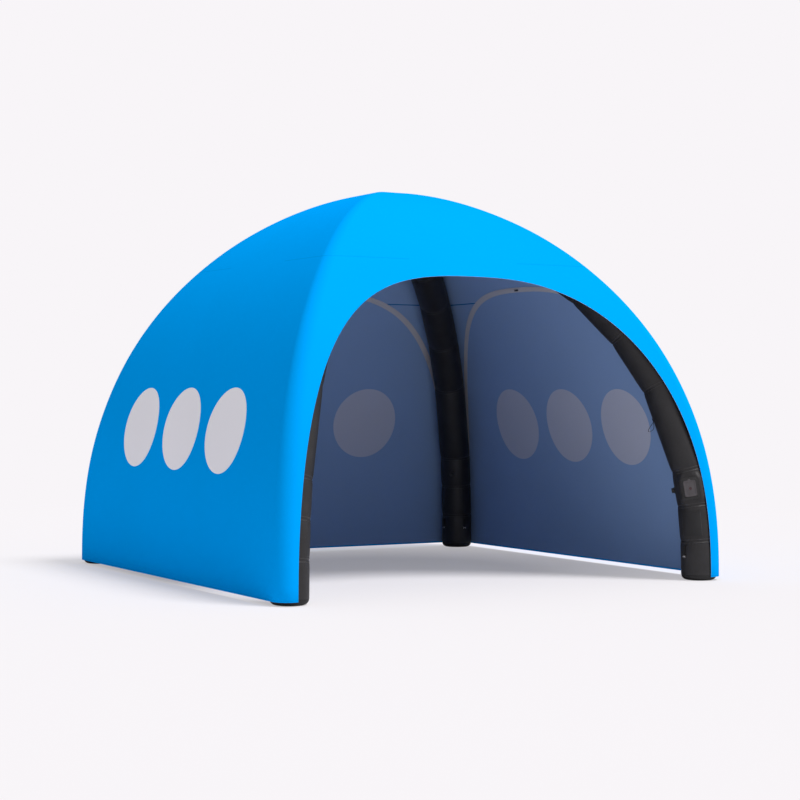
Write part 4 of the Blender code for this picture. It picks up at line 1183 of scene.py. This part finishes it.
def raised_round_pump(point):
    """The sleeve's cloth, drawn up over the pump's case to the edge of its face."""
    local = TO_PUMP @ point
    if local.y < -LEG_RADIUS / 2 or abs(local.z) > HOUSING_LENGTH:
        return point
    away, (out_x, out_z) = housing_reach(local.x, local.z)
    if away >= SHOULDER_WIDTH:
        return point
    share = min(max(1 - away / SHOULDER_WIDTH, 0), 1)
    share = share * share * (3 - 2 * share)
    wave = math.sin(local.x * FOLD_TURN_ACROSS + local.z * FOLD_TURN_UP)
    fold = SHOULDER_FOLD * wave * share * (1 - share)
    local.y += (HOUSING_PROUD - SHOULDER_STEP - local.y) * share + fold
    if away < 2 * GAP:
        local.x += out_x * (2 * GAP - away)
        local.z += out_z * (2 * GAP - away)
    return PUMP_PLACE @ local


def clear_of_fittings(corner):
    """Says which cells of a sleeve stay, clear of its valve's stem and of the pump's case."""
    def keeps(column, level, middle):
        port = TO_VALVE[corner] @ middle
        if port.y > -LEG_RADIUS / 2 and math.hypot(port.x, port.z) < PORT_CUT:
            return False
        case = TO_PUMP @ middle
        near_case = corner == PUMP_CORNER and case.y > -LEG_RADIUS / 2
        return not near_case or housing_reach(case.x, case.z)[0] > -GAP
    return keeps


def make_tube(name, corner, levels, radius, thickness, sides, shape=None, keeps=None):
    """A tube round a leg's axis, from a sheet whose roll runs round it."""
    frames = [leg_frame(corner, length) for length in levels]

    def place(column, level):
        centre, inward, sideways = frames[level]
        turn = math.tau * column / sides
        reach = radius(levels[level], turn)
        point = centre + (inward * math.cos(turn) + sideways * math.sin(turn)) * reach
        if shape:
            point = shape(point)
        return point, (turn * LEG_RADIUS, seam_distance(levels[level])[0])

    tube = cloth_from_roll(name, sides, len(levels) - 1, place, keeps)
    centres = [spot[0] for spot in frames]
    face_away(tube, lambda spot: min(centres, key=lambda centre: (centre - spot).length_squared))
    thicken(tube, thickness)
    return tube


def make_sleeve(corner):
    shape = raised_round_pump if corner == PUMP_CORNER else None
    sleeve = make_tube(
        f"sleeve_{corner}", corner, sleeve_levels(), sleeve_radius, SLEEVE_THICKNESS, SLEEVE_SIDES, shape,
        clear_of_fittings(corner),
    )
    wear(sleeve, "tent", "sleeve_cloth", sleeve_black, f"leg_sleeve_{corner}")


def make_film(corner):
    """The air tube inside a sleeve, open at both ends, with holes for its valve and for the pump."""
    film = make_tube(
        f"air_tube_{corner}", corner, [BLADDER_SEAT, *BANDS[1:]], lambda length, turn: BLADDER_RADIUS,
        FILM_THICKNESS, FILM_SIDES,
    )
    port = rod("port", VALVE_PORT_RADIUS + GAP, -2 * VALVE_STEM, OVERRUN)
    set_down(port, bench(VALVE_PLACES[corner]))
    cut(film, port)
    if corner == PUMP_CORNER:
        window = plate(
            "window", HOUSING_WIDTH + 2 * GAP, HOUSING_LENGTH + 2 * GAP, HOUSING_CORNER + GAP,
            -HOUSING_DEPTH - OVERRUN, HOUSING_PROUD + OVERRUN,
        )
        set_down(window, bench(PUMP_PLACE))
        cut(film, window)
    wear(film, "tent", "bladder_film", bladder_film, f"leg_bladder_{corner}")


for corner in CORNERS:
    make_sleeve(corner)
    make_film(corner)


# Crown: the cross where the four legs meet

def crown_arm(corner, radius, sides):
    """Rings of one arm from its leg to the planes where it meets its neighbours."""
    turns = [math.tau * side / sides for side in range(sides + 1)]
    rings = []
    for length in (CROWN_REACH - GAP, CROWN_MIDDLE, radius * CROWN_NECK_SHARE):
        centre, inward, sideways = axis_frame(corner, AXIS[-1][0] - length)
        rings.append([
            centre + (inward * math.cos(turn) + sideways * math.sin(turn)) * radius for turn in turns
        ])
    neck = rings[-1]
    sx, sy = CORNERS[corner]
    diagonal = Vector((sx, sy, 0)).normalized()
    sideways = Vector((-sy, sx, 0)).normalized()
    mitre = []
    for turn in turns:
        offset = math.sin(turn) * radius
        centre = axis_frame(corner, AXIS[-1][0] - abs(offset))[0]
        point = diagonal * abs(offset) + sideways * offset
        point.z = centre.z - math.cos(turn) * radius
        mitre.append(point)
    for step in range(1, CROWN_STEPS + 1):
        share = step / CROWN_STEPS
        rings.append([low.lerp(high, share) for low, high in zip(neck, mitre)])
    return rings


def make_crown(name, radius, thickness, sides, slot, material, node):
    """Four arms sewn along their mitres, as a crown sleeve or as the air tube inside it."""
    arms = []

    def place(column, level):
        along = CROWN_ROLL_START + level / CROWN_ROWS_PER_METRE
        return rings[level][column], (math.tau * column / sides * radius, along)

    for corner in CORNERS:
        rings = crown_arm(corner, radius, sides)
        arms.append(cloth_from_roll(f"{name}_{corner}", sides, len(rings) - 1, place))
    cross = join(arms, name)
    edit(cross)
    bpy.ops.mesh.remove_doubles(threshold=GAP)
    close_up()
    hub = axis_frame(PUMP_CORNER, AXIS[-1][0])[0]
    face_away(cross, lambda spot: Vector((spot.x * CROWN_FACING_SHARE, spot.y * CROWN_FACING_SHARE, hub.z)))
    thicken(cross, thickness)
    wear(cross, "tent", slot, material, node)


make_crown(
    "crown_cross", LEG_RADIUS - BAND_DEPTH, SLEEVE_THICKNESS, CROWN_SIDES, "sleeve_cloth", sleeve_black,
    "crown_sleeve",
)
make_crown(
    "crown_air_cross", BLADDER_RADIUS, FILM_THICKNESS, FILM_SIDES, "bladder_film", bladder_film,
    "crown_bladder",
)


# Feet

def make_foot(corner):
    """A moulded foot with a rounded sole, a shoulder under the sleeve and a hollow plug up inside it."""
    edge, shoulder = SOLE_RADIUS * SOLE_EDGE_SHARE, FOOT_HEIGHT - FOOT_SHOULDER_LAND
    start, end = edge * GROOVE_START_SHARE, edge * GROOVE_END_SHARE
    profile = [
        (0, 0), (start, 0), (start + SOLE_GROOVE, SOLE_GROOVE), (end, SOLE_GROOVE), (end + SOLE_GROOVE, 0),
    ]
    for step in range(SOLE_STEPS + 1):
        turn = math.pi / 2 * step / SOLE_STEPS
        radius = edge + (FOOT_SHOULDER_RADIUS - edge) * math.sin(turn)
        profile.append((radius, shoulder * (1 - math.cos(turn))))
    wall = PLUG_RADIUS - PLUG_WALL
    top = FOOT_HEIGHT + PLUG_HEIGHT
    profile += [
        (FOOT_SHOULDER_RADIUS, FOOT_HEIGHT - FOOT_EDGE), (FOOT_SHOULDER_RADIUS - FOOT_EDGE, FOOT_HEIGHT),
        (PLUG_RADIUS, FOOT_HEIGHT), (PLUG_RADIUS, top - PLUG_EDGE), (PLUG_RADIUS - PLUG_EDGE, top),
        (wall + FOOT_EDGE, top), (wall, top - FOOT_EDGE), (wall, FOOT_FLOOR + PLUG_EDGE),
        (wall - PLUG_EDGE, FOOT_FLOOR), (0, FOOT_FLOOR),
    ]
    foot = turned(f"rubber_foot_{corner}", profile)
    smooth(foot)
    sx, sy = CORNERS[corner]
    set_down(foot, Matrix.Translation((sx * FOOT_PLACE, sy * FOOT_PLACE, 0)))
    wear(foot, "tent", "foot_rubber", foot_rubber, f"foot_{corner}")


for corner in CORNERS:
    make_foot(corner)


# Ground rings on folded tabs of webbing

def draw_ring():
    """A wire D on the bench: half of it drawn from the bar's middle round to the bow's, then mirrored."""
    half = (RING_WIDTH - RING_WIRE) / 2
    bow = RING_DROP - RING_WIRE - half
    deselect()
    bpy.ops.mesh.primitive_circle_add(
        vertices=WIRE_SIDES, radius=RING_WIRE / 2, rotation=(0, math.pi / 2, 0)
    )
    ring = bpy.context.object
    bpy.ops.object.transform_apply(location=True, rotation=True, scale=True)
    edit(ring, "EDGE")
    bpy.ops.mesh.extrude_region_move(TRANSFORM_OT_translate={"value": (half - RING_CORNER, 0, 0)})
    bpy.ops.mesh.spin(
        steps=RING_CORNER_STEPS, angle=math.pi / 2, center=(half - RING_CORNER, -RING_CORNER, 0),
        axis=(0, 0, -1),
    )
    bpy.ops.mesh.extrude_region_move(TRANSFORM_OT_translate={"value": (0, RING_CORNER - bow, 0)})
    bpy.ops.mesh.spin(steps=RING_BOW_STEPS, angle=math.pi / 2, center=(0, -bow, 0), axis=(0, 0, -1))
    close_up()
    apply_modifier(
        ring, "MIRROR", use_axis=(True, False, False), use_clip=True, merge_threshold=MIRROR_MERGE
    )
    edit(ring)
    close_up()
    smooth(ring)
    return ring


def ribbon(name, path, width, place):
    """Webbing bent along a path of (y, z) points in a fitting frame, as one folded strip."""
    lengths = [0.0]
    for first, second in zip(path, path[1:]):
        lengths.append(lengths[-1] + math.dist(first, second))

    def spot(column, level):
        x = width * (column / WEBBING_COLUMNS - 0.5)
        return place @ Vector((x, *path[level])), (x, lengths[level])

    strip = cloth_from_roll(name, WEBBING_COLUMNS, len(path) - 1, spot)
    apply_modifier(strip, "SOLIDIFY", thickness=WEBBING, offset=0.0)
    soften(strip, WEBBING_EDGE)
    return strip, lengths[-1]


def tab_path():
    """The tab's folded line: up the leg at its back, round the ring's bar and up again at its front."""
    middle = WEBBING / 2
    bend = RING_WIRE / 2 + RUNNING_GAP + middle
    back = GAP + middle
    front = back + WEBBING + WEBBING_SPLIT
    bar = back + bend
    path = [(back, TAB_LENGTH * (1 - step / TAB_SEWN_STEPS)) for step in range(TAB_SEWN_STEPS + 1)]
    for step in range(1, TAB_BEND_STEPS + 1):
        turn = -math.pi + (math.pi + TAB_BEND_END) * step / TAB_BEND_STEPS
        path.append((bar + bend * math.cos(turn), bend * math.sin(turn)))
    # From the bar the webbing curves in and up, on to its own back.
    out, low = path[-1]
    knee = low + (out - front) / math.tan(TAB_BEND_END)
    rise = knee + WEBBING * 2
    for step in range(1, TAB_CURVE_STEPS + 1):
        share = step / TAB_CURVE_STEPS
        path.append((
            (1 - share) ** 2 * out + (2 * share - share ** 2) * front,
            (1 - share) ** 2 * low + 2 * share * (1 - share) * knee + share ** 2 * rise,
        ))
    for step in range(1, TAB_CURVE_STEPS + 1):
        path.append((front, rise + (TAB_LENGTH - rise) * step / TAB_CURVE_STEPS))
    return path


pattern_ring = draw_ring()
for corner in CORNERS:
    for hand, turn in (("a", -math.pi / 4), ("b", math.pi / 4)):
        place = fitting_frame(corner, turn, RING_HEIGHT)
        tab, length = ribbon(f"tab_{corner}_{hand}", tab_path(), TAB_WIDTH, place)
        wear(tab, "tent", "webbing", webbing_black, f"ring_tab_{corner}_{hand}")
        bar = GAP + WEBBING + RUNNING_GAP + RING_WIRE / 2
        ring = copied(pattern_ring, f"wire_ring_{corner}_{hand}")
        set_down(ring, bench(place @ Matrix.Translation((0, bar, 0))))
        wear(ring, f"ground_ring_{corner}_{hand}", "ring_steel", ring_steel, f"ground_ring_{corner}_{hand}")
bpy.data.objects.remove(pattern_ring, do_unlink=True)


# Relief valves

def draw_valve_body():
    """A round flange with a bevelled edge, a stem in through the sleeve and a spigot under the cap."""
    body = turned("valve_flange", [
        (VALVE_BORE_RADIUS, -VALVE_STEM), (VALVE_PORT_RADIUS, -VALVE_STEM), (VALVE_PORT_RADIUS, GAP),
        (VALVE_FLANGE_RADIUS, GAP), (VALVE_FLANGE_RADIUS, FLANGE_TOP - VALVE_EDGE),
        (VALVE_FLANGE_RADIUS - VALVE_EDGE, FLANGE_TOP), (VALVE_PORT_RADIUS, FLANGE_TOP),
        (VALVE_PORT_RADIUS, SPIGOT_TOP), (VALVE_BORE_RADIUS, SPIGOT_TOP), (VALVE_BORE_RADIUS, -VALVE_STEM),
    ])
    smooth(body)
    return body


def draw_cap():
    """A screw cap, hollow over the spigot, with grip flutes round it and a shallow dish in its top."""
    low, high = FLANGE_TOP + GAP, FLANGE_TOP + CAP_HEIGHT
    bore = VALVE_PORT_RADIUS + RUNNING_GAP
    bevel = CAP_BEVEL_SHARE * CAP_EDGE
    cap = turned("grip_cap", [
        (0, SPIGOT_TOP + GAP), (bore, SPIGOT_TOP + GAP), (bore, low), (CAP_RADIUS, low),
        (CAP_RADIUS, high - CAP_EDGE), (CAP_RADIUS - bevel, high - bevel), (CAP_RADIUS - CAP_EDGE, high),
        (CAP_FLAT_SHARE * CAP_RADIUS, high), (CAP_DISH_SHARE * CAP_RADIUS, high - CAP_DISH),
        (0, high - CAP_DISH),
    ], CAP_SIDES)

    def flute(middle, normal):
        side = round(math.atan2(middle.y, middle.x) / math.tau * CAP_SIDES - 0.5)
        outside = math.hypot(middle.x, middle.y) > CAP_SIDE_SHARE * CAP_RADIUS
        return outside and abs(normal.z) < UPRIGHT_NORMAL and side % FLUTE_PITCH_SIDES == 0

    edit(cap)
    select_faces(cap, flute)
    bpy.ops.mesh.inset(thickness=CAP_GRIP_INSET, depth=-CAP_GRIP_DEPTH, use_individual=True)
    close_up()
    smooth(cap)
    return cap


pattern_body, pattern_cap = draw_valve_body(), draw_cap()
for corner in CORNERS:
    place = bench(VALVE_PLACES[corner])
    body = copied(pattern_body, f"valve_flange_{corner}")
    set_down(body, place)
    wear(body, "tent", "valve_plastic", black_nylon, f"valve_body_{corner}")
    cap = copied(pattern_cap, f"grip_cap_{corner}")
    set_down(cap, place)
    wear(cap, f"valve_cap_{corner}", "valve_plastic", black_nylon, f"valve_cap_{corner}")
for pattern in (pattern_body, pattern_cap):
    bpy.data.objects.remove(pattern, do_unlink=True)


# Pump: its case, framed door and button

ALONG_PIN = Matrix.Translation((0, PIN_UP, DOOR_MIDDLE)) @ Matrix.Rotation(math.pi / 2, 4, "Y")


def tab_plate(name, clearance, low, high):
    """The thumb tab's outline at the door's upper edge, grown by a clearance."""
    wide, long = DOOR_TAB_WIDTH + 2 * clearance, 2 * (DOOR_TAB_LENGTH + clearance)
    tab = plate(name, wide, long, DOOR_TAB_LENGTH / 2, low, high)
    set_down(tab, Matrix.Translation((0, DOOR_LENGTH / 2, 0)))
    return tab


def make_housing():
    """A case with a raised lip round its recess, a notch for the thumb tab and bores for the pin."""
    case = plate("pump_case", HOUSING_WIDTH, HOUSING_LENGTH, HOUSING_CORNER, -HOUSING_DEPTH, HOUSING_PROUD)
    edit(case)
    select_faces(case, lambda middle, normal: normal.z > LEVEL_NORMAL and middle.z > HOUSING_PROUD - GAP)
    bpy.ops.mesh.inset(thickness=LIP_INSET, depth=0)
    bpy.ops.mesh.inset(thickness=LIP_HEIGHT, depth=LIP_HEIGHT)
    close_up()
    soften(case, HOUSING_EDGE, EDGE_SEGMENTS)
    wide = DOOR_WIDTH + 2 * DOOR_CLEARANCE
    long = DOOR_LENGTH + DOOR_CLEARANCE + DOOR_FOOT_CLEARANCE
    recess = plate(
        "recess", wide, long, DOOR_CORNER + DOOR_CLEARANCE, RECESS_FLOOR, HOUSING_PROUD + OVERRUN,
        DOOR_FOOT_CORNER,
    )
    set_down(recess, Matrix.Translation((0, (DOOR_CLEARANCE - DOOR_FOOT_CLEARANCE) / 2, 0)))
    cut(case, recess)
    notch = tab_plate("notch", DOOR_CLEARANCE, -DOOR_THICKNESS, HOUSING_PROUD + OVERRUN)
    cut(case, notch)
    reach = DOOR_WIDTH / 2 + PIN_LENGTH + DOOR_CLEARANCE
    bore = rod("pin_bore", PIN_RADIUS + RUNNING_GAP, -reach, reach)
    set_down(bore, ALONG_PIN)
    cut(case, bore)
    smooth(case)
    set_down(case, bench(PUMP_PLACE))
    wear(case, "tent", "valve_plastic", black_nylon, "pump_housing")


def make_door():
    """A door with a raised frame, a grooved field, a thumb tab, two pin ends and the button's hole."""
    field_face = DOOR_FACE - DOOR_RIM_DEPTH
    door = plate("framed_pump_door", DOOR_WIDTH, DOOR_LENGTH, DOOR_CORNER, DOOR_BACK, DOOR_FACE)
    # Its foot is round about the pin, so that it can swing in its recess.
    edit(door, "EDGE")
    select_edges(door, lambda middle, way: middle.y + abs(way.y) / 2 < PIN_UP and abs(way.z) < GAP)
    bpy.ops.mesh.bevel(
        offset=DOOR_THICKNESS / 2 - GAP, segments=DOOR_FOOT_SEGMENTS, profile=0.5, affect="EDGES"
    )
    close_up()
    rim = 2 * DOOR_RIM_WIDTH
    field = plate(
        "field", DOOR_WIDTH - rim, DOOR_LENGTH - rim, DOOR_CORNER / 2, field_face, DOOR_FACE + OVERRUN
    )
    cut(door, field)
    edit(door)
    select_faces(door, lambda middle, normal: normal.z > LEVEL_NORMAL and abs(middle.z - field_face) < GAP)
    bpy.ops.mesh.inset(thickness=FIELD_INSET, depth=0)
    bpy.ops.mesh.inset(thickness=FIELD_GROOVE / 2, depth=-FIELD_GROOVE)
    bpy.ops.mesh.inset(thickness=FIELD_GROOVE, depth=0)
    bpy.ops.mesh.inset(thickness=FIELD_GROOVE / 2, depth=FIELD_GROOVE)
    close_up()
    soften(door, DOOR_EDGE)
    hole = rod("button_hole", BUTTON_RADIUS + GAP, DOOR_BACK - OVERRUN, DOOR_FACE + OVERRUN)
    cut(door, hole)
    tab = tab_plate("thumb_tab", 0, DOOR_MIDDLE, DOOR_FACE + DOOR_TAB_PROUD)
    soften(tab, DOOR_EDGE, EDGE_SEGMENTS)
    reach = DOOR_WIDTH / 2 + PIN_LENGTH
    pin = rod("hinge_pin", PIN_RADIUS, -reach, reach)
    set_down(pin, ALONG_PIN)
    door = join([door, tab, pin], "framed_pump_door")
    smooth(door)
    set_down(door, bench(PUMP_PLACE))
    wear(door, "pump_door", "panel_plastic", grey_nylon, "pump_door")


def make_button():
    """A round rubber button with a soft edge and a dished top, held behind the door by its lip."""
    top = DOOR_FACE - DOOR_RIM_DEPTH + BUTTON_PROUD
    seat = DOOR_BACK - GAP
    lip = BUTTON_RADIUS + BUTTON_LIP
    button = turned("rubber_power_button", [
        (0, seat - BUTTON_LIP_THICKNESS), (lip, seat - BUTTON_LIP_THICKNESS), (lip, seat),
        (BUTTON_RADIUS, seat), (BUTTON_RADIUS, top - BUTTON_EDGE), (BUTTON_RADIUS - BUTTON_EDGE, top),
        (BUTTON_RADIUS * BUTTON_FLAT_SHARE, top),
        (BUTTON_RADIUS * BUTTON_SLOPE_SHARE, top - BUTTON_DISH * BUTTON_SLOPE_DEPTH_SHARE),
        (0, top - BUTTON_DISH),
    ], SMALL_ROUND_STEPS)
    smooth(button)
    set_down(button, bench(PUMP_PLACE))
    wear(button, "power_button", "button_plastic", button_rubber, "power_button")


make_housing()
make_door()
make_button()


# Pocket and webbing loop

def make_pocket():
    """A flat pocket sewn round the sleeve, full in its middle, with a hem along its mouth."""
    around = (POCKET_LAST_TURN - POCKET_FIRST_TURN) * (LEG_RADIUS + POCKET_SEAT)

    def place(column, level):
        across, up = column / POCKET_COLUMNS, level / POCKET_ROWS
        turn = POCKET_FIRST_TURN + (POCKET_LAST_TURN - POCKET_FIRST_TURN) * across
        length = POCKET_LOW + (POCKET_HIGH - POCKET_LOW) * up
        centre, inward, sideways = leg_frame(PUMP_CORNER, length)
        fullness = power(math.sin(math.pi * across), POCKET_FULLNESS)
        fullness *= power(math.sin(math.pi * up * POCKET_MOUTH_SHARE), POCKET_FULLNESS)
        hem = POCKET_HEM_STEP if POCKET_HIGH - length < POCKET_HEM else 0
        reach = LEG_RADIUS + POCKET_SEAT + POCKET_SWELL * fullness + hem
        point = centre + (inward * math.cos(turn) + sideways * math.sin(turn)) * reach
        edge = min(across, 1 - across) * around
        return point, (length, WELT_SPREAD + edge - STITCH_PITCH / 2)

    pocket = cloth_from_roll("sewn_pocket", POCKET_COLUMNS, POCKET_ROWS, place)
    axis = leg_frame(PUMP_CORNER, (POCKET_LOW + POCKET_HIGH) / 2)[0]
    face_away(pocket, lambda spot: axis)
    thicken(pocket, SLEEVE_THICKNESS)
    wear(pocket, "tent", "webbing", pocket_black, "leg_pocket")


def make_loop():
    """A loop of webbing: both ends sewn flat on the leg, and the bight hanging clear of it."""
    back = GAP + WEBBING / 2
    front = back + WEBBING + WEBBING_SPLIT
    path = [(back, LOOP_SEWN * (1 - step / LOOP_SEWN_STEPS)) for step in range(LOOP_SEWN_STEPS + 1)]
    for step in range(1, LOOP_STEPS):
        turn = math.tau * step / LOOP_STEPS
        fall = (1 - math.cos(turn)) / 2
        start = back + (front - back) * step / LOOP_STEPS
        path.append((start + (LOOP_LEAN - LOOP_OPENING / 2 * math.sin(turn)) * fall, -LOOP_DROP * fall))
    path += [(front, LOOP_SEWN * step / LOOP_SEWN_STEPS) for step in range(LOOP_SEWN_STEPS + 1)]
    place = fitting_frame(PUMP_CORNER, 0, LOOP_HEIGHT)
    loop, length = ribbon("hanging_loop", path, LOOP_WIDTH, place)
    wear(loop, "tent", "webbing", loop_black, "webbing_loop")


make_pocket()
make_loop()


# Solids of the CAD that stay: the pump's motor inside the leg, and the zip sliders

for name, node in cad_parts.items():
    if name == "pump_motor" or name.startswith("zip_slider_"):
        node.data.materials.clear()
        node.data.materials.append(black_nylon if name == "pump_motor" else slider_zinc)


# Floor, light and camera

BACKDROP = "F8F5F8"
FLOOR_PAINT = "E2DFE2"
FLOOR_RADIUS = 60
# Painted light on the floor: how much backdrop-coloured glow pales its shade, near the tent and further out
GLOW_START = 1.2
GLOW_END = 3.4
GLOW_INSIDE = 0.25
GLOW_OUTSIDE = 0.62
FADE_START = 5.0
FADE_END = 10.0
KEY_DIRECTION = (0.307, -0.40, 0.855)
KEY_STRENGTH = 3.0
KEY_ANGLE = math.radians(20)
SKY_STRENGTH = 0.43
CAMERA_PLACE = Vector((-7.7372, -13.5318, 1.4922))
CAMERA_YAW = 0.5265
CAMERA_PITCH = -0.0031
CAMERA_ROLL = 0.0022
CAMERA_LENS = 82.97
SENSOR_WIDTH = 36.0


def make_floor():
    """A pale painted floor that keeps the tent's shadow, paled by a painted glow in the backdrop's colour,
    and fades into the backdrop far out.
    """
    deselect()
    bpy.ops.mesh.primitive_circle_add(
        vertices=ROUND_STEPS, radius=FLOOR_RADIUS, fill_type="NGON", location=(0, 0, -GAP)
    )
    floor = bpy.context.object
    floor.name = "studio_floor"
    bpy.ops.object.transform_apply(location=True)
    material, tree, shader = new_finish("matt_white_floor_paint", Roughness=0.95, Specular_IOR_Level=0.0)
    shader.inputs["Base Color"].default_value = linear(FLOOR_PAINT)
    seen = add(tree, "ShaderNodeLightPath")
    glow = add(tree, "ShaderNodeEmission", {"Color": linear(BACKDROP), "Strength": 1.0})
    place = add(tree, "ShaderNodeTexCoord", output="Object")
    reach = add(tree, "ShaderNodeVectorMath", {0: place}, output="Value", operation="LENGTH")
    fade = add(tree, "ShaderNodeMapRange", {"Value": reach, "From Min": FADE_START, "From Max": FADE_END})
    # Painted light: the camera sees a glow in the backdrop's colour over a quarter of the floor's shade
    # near the tent, and more further out, which pales the tent's shadow.
    ends = {"From Min": GLOW_START, "From Max": GLOW_END, "To Min": GLOW_INSIDE, "To Max": GLOW_OUTSIDE}
    near = add(tree, "ShaderNodeMapRange", {"Value": reach, **ends})
    bright = add(tree, "ShaderNodeMath", {0: near, 1: fade}, operation="MAXIMUM")
    share = add(tree, "ShaderNodeMath", {0: seen, 1: bright}, operation="MULTIPLY")
    mix = add(tree, "ShaderNodeMixShader", {0: share, 1: shader.outputs[0], 2: glow})
    output = next(node for node in tree.nodes if node.type == "OUTPUT_MATERIAL")
    tree.links.new(mix, output.inputs["Surface"])
    floor.data.materials.append(material)


def make_sky():
    """An even soft light from all round, and the backdrop's colour where it is seen or mirrored."""
    world = bpy.data.worlds.new("studio")
    bpy.context.scene.world = world
    world.use_nodes = True
    tree = world.node_tree
    light = add(tree, "ShaderNodeBackground", {"Color": linear("FFFFFF"), "Strength": SKY_STRENGTH})
    shown = add(tree, "ShaderNodeBackground", {"Color": linear(BACKDROP), "Strength": 1.0})
    path = add(tree, "ShaderNodeLightPath").node.outputs
    seen = add(
        tree, "ShaderNodeMath", {0: path["Is Camera Ray"], 1: path["Is Glossy Ray"]}, operation="MAXIMUM"
    )
    seen = add(tree, "ShaderNodeMath", {0: seen, 1: path["Is Transmission Ray"]}, operation="MAXIMUM")
    mix = add(tree, "ShaderNodeMixShader", {0: seen, 1: light, 2: shown})
    output = next(node for node in tree.nodes if node.type == "OUTPUT_WORLD")
    tree.links.new(mix, output.inputs["Surface"])


def make_key():
    """One broad high light from the front right."""
    lamp = bpy.data.lights.new("key", "SUN")
    lamp.energy = KEY_STRENGTH
    lamp.angle = KEY_ANGLE
    key = bpy.data.objects.new("key", lamp)
    key.matrix_world = Vector(KEY_DIRECTION).to_track_quat("Z", "Y").to_matrix().to_4x4()
    bpy.context.scene.collection.objects.link(key)


def make_camera():
    """A long lens from the front left, about as high as a person's shoulder."""
    forward = Vector((
        math.sin(CAMERA_YAW) * math.cos(CAMERA_PITCH),
        math.cos(CAMERA_YAW) * math.cos(CAMERA_PITCH),
        math.sin(CAMERA_PITCH),
    ))
    level = Vector((math.cos(CAMERA_YAW), -math.sin(CAMERA_YAW), 0))
    upright = level.cross(forward)
    right = level * math.cos(CAMERA_ROLL) + upright * math.sin(CAMERA_ROLL)
    up = upright * math.cos(CAMERA_ROLL) - level * math.sin(CAMERA_ROLL)
    camera = bpy.data.objects.new("camera", bpy.data.cameras.new("camera"))
    camera.data.lens = CAMERA_LENS
    camera.data.sensor_width = SENSOR_WIDTH
    camera.data.sensor_fit = "HORIZONTAL"
    camera.data.clip_end = 2 * FLOOR_RADIUS
    place = Matrix((right, up, -forward)).transposed().to_4x4()
    place.translation = CAMERA_PLACE
    camera.matrix_world = place
    bpy.context.scene.collection.objects.link(camera)
    bpy.context.scene.camera = camera


make_floor()
make_sky()
make_key()
make_camera()
bpy.context.scene.view_settings.view_transform = "Standard"

bpy.context.view_layer.update()
